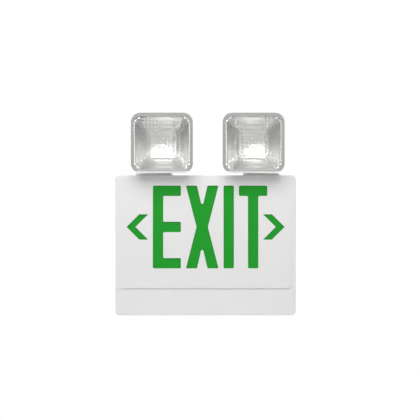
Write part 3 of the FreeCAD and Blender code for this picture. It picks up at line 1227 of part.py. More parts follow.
def build_lamp(name, place):
    """Heat sink on the back wall, the lamp board on it and the lamp in the bowl's hole."""
    sink = new_body(f"{name}_heat_sink")
    shell_back = f"({HEAD_FRONT} - dim.head_depth + dim.shell_wall)"
    sink_front = f"({BOWL_BACK} - dim.board_thick - dim.seat_gap)"
    base = sketch_on(sink, "XZ_Plane", shell_back)
    rectangle(base, "dim.sink_side", "dim.sink_side")
    pad(sink, base, f"{sink_front} - {shell_back}")
    gap = sketch_on(sink, "XZ_Plane", shell_back)
    pitch = "(dim.sink_side - dim.fin_thick) / (dim.fin_count - 1)"
    for index in range(int(size("fin_count")) - 1):
        rectangle(gap, f"{pitch} - dim.fin_thick", "dim.sink_side + 2",
                  (f"({index} + 0.5 - (dim.fin_count - 1) / 2) * {pitch}", "0"))
    pocket(sink, gap, f"({sink_front} - {shell_back}) * dim.fin_share", backwards=True)
    put(sink, place, "0", HEAD_MIDDLE)

    keep_node(block(f"{name}_lamp_board", "dim.lamp_board_side", "dim.board_thick",
                    "dim.lamp_board_side",
                    (place, f"-{sink_front} - dim.board_thick / 2", HEAD_MIDDLE)),
              f"{name}_lamp_board")

    lamp = new_body(f"{name}_lamp")
    base = sketch_on(lamp, "XZ_Plane", f"{sink_front} + dim.board_thick")
    rectangle(base, "dim.lamp_size", "dim.lamp_size")
    pad(lamp, base, "dim.lamp_rise / 2")
    dome = sketch_on(lamp, "XZ_Plane", f"{sink_front} + dim.board_thick + dim.lamp_rise / 4")
    disc(dome, "dim.lamp_size * dim.dome_share")
    pad(lamp, dome, "dim.lamp_rise - dim.lamp_rise / 4")
    front = min(corner.Point.y for corner in lamp.Shape.Vertexes)
    soften(lamp, "Fillet", "dim.lamp_rise / 3",
           lambda edge: near(edge.BoundBox.YMin, front) and near(edge.BoundBox.YMax, front))
    put(lamp, place, "0", HEAD_MIDDLE)


build_front_housing()
build_back_plate()
build_cover_screws()
build_legend_panel()
build_light_box()
build_light_strips()
build_control_gear()
build_battery()
for head_name, head_side, head_place in HEADS:
    build_tilt_drum(head_name, head_side, head_place)
    build_saddle(head_name, head_side, head_place)
    build_head_shell(head_name, head_place)
    build_reflector(head_name, head_place)
    build_lens(head_name, head_place)
    build_lamp(head_name, head_place)
build_saddle_screws()

doc.recompute()
for obj in doc.Objects:
    if "Invalid" in obj.State or "Error" in obj.State:
        raise RuntimeError(f"{obj.Label} failed: {obj.State}")
os.makedirs("parts", exist_ok=True)
for node in NODES:
    if node.Shape.isNull() or not node.Shape.isValid():
        raise RuntimeError(f"{node.Label} has no valid shape")
    node.Shape.exportStep(f"parts/{node.Label}.step")
print(len(NODES), "nodes written")
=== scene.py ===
import json
import math
import bpy
import bmesh
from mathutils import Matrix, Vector


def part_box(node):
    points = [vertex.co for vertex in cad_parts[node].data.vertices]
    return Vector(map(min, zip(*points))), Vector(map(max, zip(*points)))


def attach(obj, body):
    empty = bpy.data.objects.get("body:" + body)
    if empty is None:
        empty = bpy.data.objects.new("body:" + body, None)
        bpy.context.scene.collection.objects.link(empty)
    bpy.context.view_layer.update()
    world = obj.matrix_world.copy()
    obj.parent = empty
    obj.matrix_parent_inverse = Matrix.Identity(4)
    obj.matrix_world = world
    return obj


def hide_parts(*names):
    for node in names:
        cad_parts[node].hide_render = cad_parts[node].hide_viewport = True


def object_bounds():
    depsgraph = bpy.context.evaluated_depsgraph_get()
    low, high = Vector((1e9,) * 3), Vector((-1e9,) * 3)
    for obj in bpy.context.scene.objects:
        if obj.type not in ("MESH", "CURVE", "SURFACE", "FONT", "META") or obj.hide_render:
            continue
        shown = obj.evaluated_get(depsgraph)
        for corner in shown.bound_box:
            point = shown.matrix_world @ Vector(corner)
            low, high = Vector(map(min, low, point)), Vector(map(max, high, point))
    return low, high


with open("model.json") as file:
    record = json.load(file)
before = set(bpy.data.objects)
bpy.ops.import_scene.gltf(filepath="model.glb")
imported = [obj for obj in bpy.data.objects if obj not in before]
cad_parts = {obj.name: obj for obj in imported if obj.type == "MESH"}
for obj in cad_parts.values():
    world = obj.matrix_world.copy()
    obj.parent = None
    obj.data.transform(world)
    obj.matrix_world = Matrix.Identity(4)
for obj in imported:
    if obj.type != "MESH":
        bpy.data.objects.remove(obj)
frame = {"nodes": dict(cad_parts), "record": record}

bl_info = {
    "name": "Emergency exit light",
    "version": (1, 0, 0),
    "blender": (4, 5, 0),
    "location": "View3D > Sidebar > Exit light",
    "description": "Finishes, prism lenses, small electronic parts and studio for the exit light",
    "category": "Object",
}

CAD_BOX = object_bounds()
NODES = frame["nodes"]
SIDES = ("left", "right")

# lenses
PRISM_POINTS = 7         # points along a side of one prism
CORNER_STEPS = 8         # chords in a rounded corner
BEAD_STEPS = 4           # chords across the bead's crown
WELD = 1e-5              # points closer than this become one
LEAST = 1e-6             # the smallest length that anything is divided by

# painted shade on the front of a head's rim: grey instead of the white plastic, except near its
# foot
RIM_SHADE_DEPTH = 0.0002     # how far behind the front face it reaches
RIM_SHADE_START = 0.0035     # how far above the head's foot it starts
MIX_COLOURS = (6, 7)     # the colour inputs of a Mix node
MIX_RESULT = 2           # its colour output

# small parts, their sizes as width, height and depth
CHIP = (0.0026, 0.0013, 0.0013)
CHIP_CLEARANCE = 0.0052  # bare board between the chips and their larger neighbours
BARE_PITCHES = 4         # pitches of bare board above and below the chips together
RESISTOR = (0.0032, 0.0016, 0.0006)
STRIP_THICK = 0.0016     # board of a light strip
TERMINAL_SCREW = (0.004, 0.0012, 0.003)
TERMINAL_SCREW_SHIFT = 0.0012  # screws in front of the middle of their block

# studio
FLOOR_REACH = 3.0        # half a side of the floor
FLOOR_GAP = 0.0005       # floor below the housing
FLAG_REACH = 0.5         # half a side of the flag before it is scaled
FLAG_BEHIND = 0.3        # flag behind the camera
FLAG_UP = 0.1            # flag's middle above the origin
CARD_ROUGH = 0.9
AIM_DEPTH = -0.07        # the housing's face, which the lamps are turned to
SENSOR = 36.0            # camera's sensor width in millimetres
LAMPS = {                # width, height and place
    "key_light": (2.2, 1.6, (-0.15, -1.5, 1.4)),
    "back_light": (1.6, 1.0, (0.0, 1.4, 1.2)),
}


# ---------------------------------------------------------------- settings

def colour_setting(name, description, default):
    """A colour that the user may change."""
    return bpy.props.FloatVectorProperty(
        name=name, description=description, default=default, subtype="COLOR", min=0.0, max=1.0)


class ExitLightFinish(bpy.types.PropertyGroup):
    housing: colour_setting("Housing", "Colour of the white moulded pieces", (0.86, 0.86, 0.855))
    legend: colour_setting("Legend", "Colour of the word and the chevrons", (0.012, 0.33, 0.022))
    bowl: colour_setting("Bowl", "Colour of the silvered bowls", (0.72, 0.72, 0.712))
    # painted shade: the grey for the front of the heads' white plastic rims, standing in for their
    # shading
    rim: colour_setting("Rim", "Colour of the heads' frosted rims", (0.42, 0.42, 0.415))
    # painted shade: the grey of the beads round the lenses stands for the dark groove between lens
    # and rim
    bead: colour_setting("Bead", "Colour of the weld beads round the lenses", (0.46, 0.46, 0.455))


class ExitLightLens(bpy.types.PropertyGroup):
    columns: bpy.props.IntProperty(
        name="Columns", description="Prisms across the lens", default=16, min=2)
    rows: bpy.props.IntProperty(
        name="Rows", description="Prisms up the lens", default=17, min=2)
    prism_depth: bpy.props.FloatProperty(
        name="Prism depth", description="Depth of the grooves between the prisms",
        default=0.0014, unit="LENGTH")
    slope_share: bpy.props.FloatProperty(
        name="Slope share", description="Share of a prism's half width that slopes",
        default=1.0, min=0.01, subtype="FACTOR")
    corner: bpy.props.FloatProperty(
        name="Corner", description="Corner radius of the lens", default=0.01435, unit="LENGTH")
    edge_round: bpy.props.FloatProperty(
        name="Edge round", description="Rounding of the lens's front edge",
        default=0.0005, unit="LENGTH")
    bead_width: bpy.props.FloatProperty(
        name="Bead width", description="Width of the weld bead round a lens",
        default=0.0028, unit="LENGTH")
    bead_rise: bpy.props.FloatProperty(
        name="Bead rise", description="Height of the weld bead round a lens",
        default=0.0002, unit="LENGTH")


class ExitLightGear(bpy.types.PropertyGroup):
    seed: bpy.props.IntProperty(
        name="Seed", description="Which small parts are left off the board", default=4)
    chip_pitch: bpy.props.FloatProperty(
        name="Part pitch", description="Spacing of the small parts on the board",
        default=0.0065, unit="LENGTH")
    chip_keep: bpy.props.FloatProperty(
        name="Share kept", description="Share of the places that hold a part",
        default=0.62, subtype="FACTOR")
    chip_columns: bpy.props.IntProperty(
        name="Part columns", description="Columns of small parts on the board", default=3, min=1)
    chip_vary: bpy.props.FloatProperty(
        name="Part variety", description="How much smaller than the largest a part may be",
        default=0.4, subtype="FACTOR")
    strip_parts: bpy.props.IntProperty(
        name="Strip parts", description="Resistors along one light strip", default=9)
    terminal_ways: bpy.props.IntProperty(
        name="Ways", description="Screws of the terminal block", default=3)


class ExitLightStudio(bpy.types.PropertyGroup):
    distance: bpy.props.FloatProperty(
        name="Distance", description="Camera to the wall plane", default=1.57, unit="LENGTH")
    aim_x: bpy.props.FloatProperty(
        name="Aim across", description="Camera axis, right of the centre line",
        default=0.0081, unit="LENGTH")
    aim_z: bpy.props.FloatProperty(
        name="Aim up", description="Camera axis above the centre", default=0.065, unit="LENGTH")
    focal: bpy.props.FloatProperty(
        name="Focal length", description="Lens on a 36 mm sensor, in millimetres", default=69.8)
    sky: bpy.props.FloatProperty(
        name="Sky", description="Strength of the even light from all round", default=0.05)
    key: bpy.props.FloatProperty(
        name="Key light", description="Power of the soft light above and in front, in watts",
        default=39.0)
    back: bpy.props.FloatProperty(
        name="Back light", description="Power of the soft light behind, in watts", default=15.0)
    flag: bpy.props.FloatProperty(
        name="Flag", description="Width and height of the dark flag behind the camera",
        default=1.1, unit="LENGTH")


# ---------------------------------------------------------------- node helpers

def add(tree, kind, inputs=None, **settings):
    """A node with its settings, its constants and its links in one go."""
    item = tree.nodes.new(kind)
    for key, value in settings.items():
        setattr(item, key, value)
    for key, value in (inputs or {}).items():
        if isinstance(value, bpy.types.NodeSocket):
            tree.links.new(value, item.inputs[key])
        else:
            item.inputs[key].default_value = value
    return item


def calc(tree, operation, first, second=0.0):
    """The output of one Math node."""
    return add(tree, "ShaderNodeMath", {0: first, 1: second}, operation=operation).outputs[0]


def new_group(name, kind, inputs, outputs):
    """A node group with named sockets: inputs as (name, type, default), outputs as (name, type)."""
    tree = bpy.data.node_groups.new(name, kind)
    for label, socket, default in inputs:
        item = tree.interface.new_socket(label, in_out="INPUT", socket_type=socket)
        if default is not None:
            item.default_value = default
    for label, socket in outputs:
        tree.interface.new_socket(label, in_out="OUTPUT", socket_type=socket)
    return tree, tree.nodes.new("NodeGroupInput"), tree.nodes.new("NodeGroupOutput")


def apply_group(obj, tree, values):
    """Runs a Geometry Nodes group on an object and keeps the mesh it makes."""
    modifier = obj.modifiers.new(tree.name, "NODES")
    modifier.node_group = tree
    keys = {item.name: item.identifier for item in tree.interface.items_tree
            if item.item_type == "SOCKET" and item.in_out == "INPUT"}
    for label, value in values.items():
        modifier[keys[label]] = value
    bpy.context.view_layer.update()
    evaluated = obj.evaluated_get(bpy.context.evaluated_depsgraph_get())
    mesh = bpy.data.meshes.new_from_object(evaluated)
    mesh.name = obj.name
    obj.modifiers.remove(modifier)
    # the object's own empty slot comes before the one that the group sets
    if len(mesh.materials) > 1:
        mesh.materials.pop(index=0)
    obj.data = mesh
    return obj


def new_object(name, mesh=None):
    """An object in the scene, with an empty mesh if none is given."""
    obj = bpy.data.objects.new(name, mesh or bpy.data.meshes.new(name))
    bpy.context.scene.collection.objects.link(obj)
    return obj


def kept_mesh(working, name):
    """The named mesh that a bmesh holds; the bmesh is given up."""
    data = bpy.data.meshes.new(name)
    working.to_mesh(data)
    working.free()
    return data


# ---------------------------------------------------------------- finishes

def grain_group():
    """Fine mould grain and softened edges, as a normal."""
    tree, start, end = new_group(
        "surface_grain", "ShaderNodeTree",
        (("Scale", "NodeSocketFloat", 900.0), ("Depth", "NodeSocketFloat", 0.00003),
         ("Edge", "NodeSocketFloat", 0.0004)),
        (("Normal", "NodeSocketVector"),))
    place = add(tree, "ShaderNodeTexCoord")
    noise = add(tree, "ShaderNodeTexNoise",
                {"Vector": place.outputs["Object"], "Scale": start.outputs["Scale"],
                 "Detail": 2.0, "Roughness": 0.5})
    edge = add(tree, "ShaderNodeBevel", {"Radius": start.outputs["Edge"]}, samples=4)
    bump = add(tree, "ShaderNodeBump",
               {"Height": noise.outputs[0], "Distance": start.outputs["Depth"],
                "Strength": 1.0, "Normal": edge.outputs[0]})
    tree.links.new(bump.outputs[0], end.inputs["Normal"])
    return tree


def drift_group():
    """A slow, faint change of tone across a surface, as moulded plastic has."""
    tree, start, end = new_group(
        "tone_drift", "ShaderNodeTree",
        (("Color", "NodeSocketColor", (0.8, 0.8, 0.8, 1.0)), ("Amount", "NodeSocketFloat", 0.02),
         ("Scale", "NodeSocketFloat", 7.0)),
        (("Color", "NodeSocketColor"),))
    place = add(tree, "ShaderNodeTexCoord")
    noise = add(tree, "ShaderNodeTexNoise",
                {"Vector": place.outputs["Object"], "Scale": start.outputs["Scale"], "Detail": 3.0})
    swing = calc(tree, "SUBTRACT", noise.outputs[0], 0.5)
    value = calc(tree, "ADD", calc(tree, "MULTIPLY", swing, start.outputs["Amount"]), 1.0)
    tint = add(tree, "ShaderNodeHueSaturation",
               {"Color": start.outputs["Color"], "Value": value})
    tree.links.new(tint.outputs[0], end.inputs["Color"])
    return tree


def fresh_material(name):
    """A new material that takes the place of the plain one that came with the CAD nodes."""
    plain = bpy.data.materials.get(name)
    if plain:
        bpy.data.materials.remove(plain)
    material = bpy.data.materials.new(name)
    material.use_nodes = True
    return material


def coat(name, colour, groups, rough=0.4, metal=0.0, drift=0.02, scale=900.0, depth=0.00002,
         **extra):
    """A finish: a Principled shader fed by the two shared groups."""
    material = fresh_material(name)
    tree = material.node_tree
    shader = tree.nodes["Principled BSDF"]
    grain = add(tree, "ShaderNodeGroup", node_tree=groups["grain"])
    grain.inputs["Scale"].default_value = scale
    grain.inputs["Depth"].default_value = depth
    tone = add(tree, "ShaderNodeGroup", node_tree=groups["drift"])
    tone.inputs["Color"].default_value = (*colour, 1.0)
    tone.inputs["Amount"].default_value = drift
    tree.links.new(grain.outputs["Normal"], shader.inputs["Normal"])
    tree.links.new(tone.outputs["Color"], shader.inputs["Base Color"])
    shader.inputs["Roughness"].default_value = rough
    shader.inputs["Metallic"].default_value = metal
    for label, value in extra.items():
        shader.inputs[label.replace("_", " ")].default_value = value
    return material


def rim_with_painted_shade(name, source, colour):
    """The heads' own plastic: like the housing's, with painted shade on the rim, whose front is
    grey above the foot.
    """
    material = bpy.data.materials[source].copy()
    material.name = name
    tree = material.node_tree
    shader = tree.nodes["Principled BSDF"]
    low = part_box("left_head_shell")[0]
    place = add(tree, "ShaderNodeSeparateXYZ",
                {0: add(tree, "ShaderNodeTexCoord").outputs["Object"]}).outputs
    # mask of the painted shade: the shell's front face, above its foot
    front = calc(tree, "LESS_THAN", place[1], low[1] + RIM_SHADE_DEPTH)
    above = calc(tree, "GREATER_THAN", place[2], low[2] + RIM_SHADE_START)
    plain, shaded = MIX_COLOURS
    tone = shader.inputs["Base Color"].links[0].from_socket
    mixed = add(tree, "ShaderNodeMix",
                {0: calc(tree, "MULTIPLY", front, above), plain: tone, shaded: (*colour, 1.0)},
                data_type="RGBA")
    tree.links.new(mixed.outputs[MIX_RESULT], shader.inputs["Base Color"])
    return material


def clear_coat():
    """Clear acrylic that lets the lights through to what lies behind it."""
    material = fresh_material("clear_plastic")
    tree = material.node_tree
    shader = tree.nodes["Principled BSDF"]
    shader.inputs["Base Color"].default_value = (0.955, 0.955, 0.95, 1.0)
    shader.inputs["Roughness"].default_value = 0.03
    shader.inputs["IOR"].default_value = 1.49
    shader.inputs["Transmission Weight"].default_value = 1.0
    path = add(tree, "ShaderNodeLightPath")
    through = add(tree, "ShaderNodeBsdfTransparent", {"Color": (0.9, 0.9, 0.9, 1.0)})
    mix = add(tree, "ShaderNodeMixShader",
              {0: path.outputs["Is Shadow Ray"], 1: shader.outputs[0], 2: through.outputs[0]})
    tree.links.new(mix.outputs[0], tree.nodes["Material Output"].inputs["Surface"])
    return material


# the finishes without a colour here take it from the settings
FINISHES = {
    "white_plastic": dict(rough=0.38, drift=0.012),
    "green_plastic": dict(rough=0.45, drift=0.05, depth=0.00001, Specular_IOR_Level=0.2),
    "silvered_plastic": dict(rough=0.28, metal=1.0, depth=0.00001),
    # painted shade: grey for the groove between each lens and its rim
    "lens_seam_shade": dict(),
    "circuit_board": dict(colour=(0.04, 0.17, 0.06), rough=0.35, drift=0.15),
    "white_board": dict(colour=(0.80, 0.80, 0.78), rough=0.45),
    "lamp_dome": dict(colour=(0.84, 0.80, 0.62), rough=0.2, Coat_Weight=0.6),
    "core_steel": dict(colour=(0.40, 0.40, 0.41), rough=0.45, metal=0.9, scale=1400.0,
                       depth=0.00008),
    "zinc_steel": dict(colour=(0.62, 0.62, 0.60), rough=0.3, metal=1.0, drift=0.08),
    "black_plastic": dict(colour=(0.03, 0.03, 0.032), rough=0.45),
    "sleeve_plastic": dict(colour=(0.02, 0.08, 0.28), rough=0.22, Coat_Weight=0.4),
    "sink_aluminium": dict(colour=(0.72, 0.72, 0.73), rough=0.35, metal=1.0),
    "red_lens": dict(colour=(0.45, 0.02, 0.02), rough=0.15, Transmission_Weight=0.4),
}


class EXITLIGHT_OT_finishes(bpy.types.Operator):
    """Gives every CAD node the finish of its material slot"""
    bl_idname = "exitlight.finishes"
    bl_label = "Finishes"

    def execute(self, context):
        wanted = context.scene.exitlight_finish
        chosen = {"white_plastic": wanted.housing, "green_plastic": wanted.legend,
                  "silvered_plastic": wanted.bowl, "lens_seam_shade": wanted.bead}
        groups = {"grain": grain_group(), "drift": drift_group()}
        for name, values in FINISHES.items():
            coat(name, groups=groups, **{"colour": chosen.get(name), **values})
        clear_coat()
        # the heads' shells get the white plastic with painted shade on the rim's front
        rim = rim_with_painted_shade("rim_plastic_painted_shade", "white_plastic", wanted.rim)
        for part in frame["record"]["subparts"]:
            obj = NODES[part["node"]]
            obj.data.materials.clear()
            plain = bpy.data.materials[part["material_slot"]]
            obj.data.materials.append(rim if part["node"].endswith("head_shell") else plain)
        return {"FINISHED"}


# ---------------------------------------------------------------- prism lenses

def point_place(tree):
    """The X, Y and Z outputs of each point's own place."""
    place = add(tree, "GeometryNodeInputPosition").outputs[0]
    return add(tree, "ShaderNodeSeparateXYZ", {0: place}).outputs


def prism_height(tree, sides, given):
    """How far each point of one prism stands up: full in the middle, nothing at the four sides."""
    where = point_place(tree)
    reach = []
    for i, side in enumerate(sides):
        doubled = calc(tree, "MULTIPLY", calc(tree, "ABSOLUTE", where[i]), 2.0)
        reach.append(calc(tree, "DIVIDE", doubled, side))
    inward = calc(tree, "SUBTRACT", 1.0, calc(tree, "MAXIMUM", *reach))
    rise = calc(tree, "MINIMUM", calc(tree, "DIVIDE", inward, given["Slope"]), 1.0)
    return calc(tree, "MULTIPLY", rise, given["Depth"])


def corner_pull(tree, given):
    """The move that draws a point beyond a corner's arc back onto it."""
    where = point_place(tree)
    past, sign = [], []
    for i, span in enumerate((given["Width"], given["Height"])):
        centre = calc(tree, "SUBTRACT", calc(tree, "MULTIPLY", span, 0.5), given["Corner"])
        beyond = calc(tree, "SUBTRACT", calc(tree, "ABSOLUTE", where[i]), centre)
        past.append(calc(tree, "MAXIMUM", beyond, 0.0))
        sign.append(calc(tree, "SIGN", where[i]))
    squares = [calc(tree, "POWER", length, 2.0) for length in past]
    distance = calc(tree, "MAXIMUM", calc(tree, "SQRT", calc(tree, "ADD", *squares)), LEAST)
    fitted = calc(tree, "MINIMUM", calc(tree, "DIVIDE", given["Corner"], distance), 1.0)
    shrink = calc(tree, "SUBTRACT", fitted, 1.0)
    move = [calc(tree, "MULTIPLY", calc(tree, "MULTIPLY", length, shrink), way)
            for length, way in zip(past, sign)]
    return add(tree, "ShaderNodeCombineXYZ", {"X": move[0], "Y": move[1]}).outputs[0]


def prism_group():
    """A field of small prisms with rounded outer corners, joined to the front of its lens."""
    tree, start, end = new_group(
        "prism_field", "GeometryNodeTree",
        (("Geometry", "NodeSocketGeometry", None), ("Width", "NodeSocketFloat", 0.1),
         ("Height", "NodeSocketFloat", 0.1), ("Columns", "NodeSocketInt", 16),
         ("Rows", "NodeSocketInt", 17), ("Depth", "NodeSocketFloat", 0.001),
         ("Slope", "NodeSocketFloat", 0.7), ("Corner", "NodeSocketFloat", 0.014),
         ("Place", "NodeSocketVector", None), ("Material", "NodeSocketMaterial", None)),
        (("Geometry", "NodeSocketGeometry"),))
    given = start.outputs
    across = calc(tree, "DIVIDE", given["Width"], given["Columns"])
    up = calc(tree, "DIVIDE", given["Height"], given["Rows"])
    cell = add(tree, "GeometryNodeMeshGrid",
               {"Size X": across, "Size Y": up,
                "Vertices X": PRISM_POINTS, "Vertices Y": PRISM_POINTS})
    lift = add(tree, "ShaderNodeCombineXYZ", {"Z": prism_height(tree, (across, up), given)})
    prism = add(tree, "GeometryNodeSetPosition",
                {"Geometry": cell.outputs["Mesh"], "Offset": lift.outputs[0]})
    spots = add(tree, "GeometryNodeMeshGrid",
                {"Size X": calc(tree, "SUBTRACT", given["Width"], across),
                 "Size Y": calc(tree, "SUBTRACT", given["Height"], up),
                 "Vertices X": given["Columns"], "Vertices Y": given["Rows"]})
    copies = add(tree, "GeometryNodeInstanceOnPoints",
                 {"Points": spots.outputs["Mesh"], "Instance": prism.outputs[0]})
    solid = add(tree, "GeometryNodeRealizeInstances", {0: copies.outputs[0]})
    trimmed = add(tree, "GeometryNodeSetPosition",
                  {"Geometry": solid.outputs[0], "Offset": corner_pull(tree, given)})
    welded = add(tree, "GeometryNodeMergeByDistance",
                 {"Geometry": trimmed.outputs[0], "Distance": WELD})
    turned = add(tree, "GeometryNodeTransform",
                 {"Geometry": welded.outputs[0], "Translation": given["Place"],
                  "Rotation": (-math.pi / 2, 0.0, 0.0)})
    flat = add(tree, "GeometryNodeSetShadeSmooth",
               {"Geometry": turned.outputs[0], "Shade Smooth": False})
    joined = add(tree, "GeometryNodeJoinGeometry")
    tree.links.new(flat.outputs[0], joined.inputs[0])
    tree.links.new(given["Geometry"], joined.inputs[0])
    coated = add(tree, "GeometryNodeSetMaterial",
                 {"Geometry": joined.outputs[0], "Material": given["Material"]})
    tree.links.new(coated.outputs[0], end.inputs[0])
    return tree


def rounded_outline(width, height, corner):
    """Points round a rectangle with rounded corners, anticlockwise, as (across, up)."""
    points = []
    for quarter, (side, rise) in enumerate(((1, 1), (-1, 1), (-1, -1), (1, -1))):
        across, up = side * (width / 2 - corner), rise * (height / 2 - corner)
        for step in range(CORNER_STEPS + 1):
            turn = (quarter + step / CORNER_STEPS) * math.pi / 2
            points.append((across + corner * math.cos(turn), up + corner * math.sin(turn)))
    return points


def lens_ring(mesh, low, high, corner, inset, depth):
    """New points round a lens, set in from its edge, all at one depth."""
    middle_x, middle_z = (low[0] + high[0]) / 2, (low[2] + high[2]) / 2
    outline = rounded_outline(high[0] - low[0] - 2 * inset, high[2] - low[2] - 2 * inset,
                              corner - inset)
    return [mesh.verts.new((middle_x + x, depth, middle_z + z)) for x, z in outline]


def front_plate(name, low, high, corner, edge):
    """The smooth front of a lens and its sides, open at the back."""
    mesh = bmesh.new()
    rings = [lens_ring(mesh, low, high, corner, inset, depth)
             for inset, depth in ((edge, low[1]), (0.0, low[1] + edge), (0.0, high[1]))]
    mesh.faces.new(rings[0])
    for front, rear in zip(rings, rings[1:]):
        for i in range(len(front)):
            mesh.faces.new((front[i - 1], rear[i - 1], rear[i], front[i]))
    return kept_mesh(mesh, name)


def edge_bead(name, low, high, corner, width, rise):
    """A low bead round the edge of the lens's front, where the lens meets its rim; its grey is
    painted shade for the dark groove there.
    """
    mesh = bmesh.new()
    shares = [step / BEAD_STEPS for step in range(BEAD_STEPS + 1)]
    rings = [lens_ring(mesh, low, high, corner, width * share,
                       low[1] - rise * math.sin(math.pi * share)) for share in shares]
    for outer, inner in zip(rings, rings[1:]):
        for i in range(len(outer)):
            mesh.faces.new((outer[i - 1], outer[i], inner[i], inner[i - 1])).smooth = True
    bmesh.ops.recalc_face_normals(mesh, faces=mesh.faces)
    return kept_mesh(mesh, name)


class EXITLIGHT_OT_lenses(bpy.types.Operator):
    """Builds the two clear lenses, each with its field of prisms and its bead"""
    bl_idname = "exitlight.lenses"
    bl_label = "Lenses"

    def execute(self, context):
        wanted = context.scene.exitlight_lens
        tree = prism_group()
        for side in SIDES:
            node = f"{side}_lens"
            low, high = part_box(node)
            mesh = front_plate(f"{side}_prism_lens", low, high, wanted.corner, wanted.edge_round)
            lens = new_object(f"{side}_prism_lens", mesh)
            middle = (Vector(low) + Vector(high)) / 2
            apply_group(lens, tree, {
                "Width": high[0] - low[0], "Height": high[2] - low[2],
                "Columns": wanted.columns, "Rows": wanted.rows, "Depth": wanted.prism_depth,
                "Slope": wanted.slope_share, "Corner": wanted.corner,
                "Place": (middle.x, high[1] - wanted.prism_depth, middle.z),
                "Material": bpy.data.materials["clear_plastic"]})
            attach(lens, f"{side}_head")
            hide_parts(node)
            # a grey bead round each lens, painted shade for the groove between lens and rim
            bead = new_object(f"{side}_lens_seam_shade", edge_bead(
                f"{side}_lens_seam_shade", low, high, wanted.corner, wanted.bead_width, wanted.bead_rise))
            bead.data.materials.append(bpy.data.materials["lens_seam_shade"])
            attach(bead, f"{side}_head")
        return {"FINISHED"}


# ---------------------------------------------------------------- small parts

def scatter_group():
    """Small blocks on a grid of places, some places left empty."""
    tree, start, end = new_group(
        "parts_on_grid", "GeometryNodeTree",
        (("Columns", "NodeSocketInt", 4), ("Rows", "NodeSocketInt", 4),
         ("Span", "NodeSocketVector", None), ("Size", "NodeSocketVector", None),
         ("Place", "NodeSocketVector", None), ("Lean", "NodeSocketFloat", 0.0),
         ("Keep", "NodeSocketFloat", 1.0), ("Vary", "NodeSocketFloat", 0.0),
         ("Seed", "NodeSocketInt", 1), ("Material", "NodeSocketMaterial", None)),
        (("Geometry", "NodeSocketGeometry"),))
    given = start.outputs
    span = add(tree, "ShaderNodeSeparateXYZ", {0: given["Span"]})
    spots = add(tree, "GeometryNodeMeshGrid",
                {"Size X": span.outputs[0], "Size Y": span.outputs[1],
                 "Vertices X": given["Columns"], "Vertices Y": given["Rows"]})
    chance = add(tree, "FunctionNodeRandomValue", {"Seed": given["Seed"]}, data_type="FLOAT")
    kept = add(tree, "FunctionNodeCompare",
               {0: chance.outputs[1], 1: given["Keep"]}, data_type="FLOAT", operation="LESS_EQUAL")
    block = add(tree, "GeometryNodeMeshCube", {"Size": given["Size"]})
    seed = add(tree, "FunctionNodeRandomValue",
               {"Seed": calc(tree, "ADD", given["Seed"], 7.0)}, data_type="FLOAT")
    stretch = calc(tree, "SUBTRACT", 1.0, calc(tree, "MULTIPLY", seed.outputs[1], given["Vary"]))
    scale = add(tree, "ShaderNodeCombineXYZ", {"X": stretch, "Y": stretch, "Z": 1.0})
    copies = add(tree, "GeometryNodeInstanceOnPoints",
                 {"Points": spots.outputs["Mesh"], "Selection": kept.outputs[0],
                  "Instance": block.outputs["Mesh"], "Scale": scale.outputs[0]})
    solid = add(tree, "GeometryNodeRealizeInstances", {0: copies.outputs[0]})
    turn = add(tree, "ShaderNodeCombineXYZ", {"X": calc(tree, "ADD", given["Lean"], math.pi / 2)})
    turned = add(tree, "GeometryNodeTransform",
                 {"Geometry": solid.outputs[0], "Translation": given["Place"],
                  "Rotation": turn.outputs[0]})
    coated = add(tree, "GeometryNodeSetMaterial",
                 {"Geometry": turned.outputs[0], "Material": given["Material"]})
    tree.links.new(coated.outputs[0], end.inputs[0])
    return tree


def scatter(name, tree, slot, **values):
    """One object of small blocks that stays with the housing."""
    obj = new_object(name)
    values["Material"] = bpy.data.materials[slot]
    apply_group(obj, tree, values)
    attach(obj, "housing")
    return obj


class EXITLIGHT_OT_small_parts(bpy.types.Operator):
    """Adds the small parts of the control board, the light strips and the terminal block"""
    bl_idname = "exitlight.small_parts"
    bl_label = "Small parts"

    def execute(self, context):
        wanted = context.scene.exitlight_gear
        tree = scatter_group()
        low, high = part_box("control_board")
        room_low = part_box("transformer")[1][0] + CHIP_CLEARANCE
        room_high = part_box("relay")[0][0] - CHIP_CLEARANCE
        tall = high[2] - low[2] - BARE_PITCHES * wanted.chip_pitch
        scatter("board_chips", tree, "black_plastic", Columns=wanted.chip_columns,
                Rows=int(tall / wanted.chip_pitch) + 1, Size=CHIP,
                Span=(room_high - room_low, tall, 0.0),
                Place=((room_low + room_high) / 2, low[1] - CHIP[2] / 2, (low[2] + high[2]) / 2),
                Keep=wanted.chip_keep, Vary=wanted.chip_vary, Seed=wanted.seed)
        for place in ("upper", "lower"):
            low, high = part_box(f"{place}_led_strip")
            lamp_low, lamp_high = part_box(f"{place}_strip_leds")
            gap = (lamp_high[0] - lamp_low[0]) / (wanted.strip_parts + 1)
            scatter(f"{place}_strip_resistors", tree, "black_plastic",
                    Columns=wanted.strip_parts, Rows=1, Size=RESISTOR,
                    Span=(gap * (wanted.strip_parts - 1), 0.0, 0.0),
                    Place=(0.0, (lamp_high[1] + low[1]) / 2, (low[2] + high[2]) / 2),
                    Lean=-math.atan2(high[1] - low[1] - STRIP_THICK, high[2] - low[2]))
        low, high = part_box("terminal_block")
        way = (high[0] - low[0]) / wanted.terminal_ways
        middle = (Vector(low) + Vector(high)) / 2
        scatter("terminal_screws", tree, "zinc_steel", Columns=wanted.terminal_ways, Rows=1,
                Size=TERMINAL_SCREW, Span=(way * (wanted.terminal_ways - 1), 0.0, 0.0),
                Place=(middle.x, middle.y - TERMINAL_SCREW_SHIFT, middle.z))
        return {"FINISHED"}


# ---------------------------------------------------------------- studio

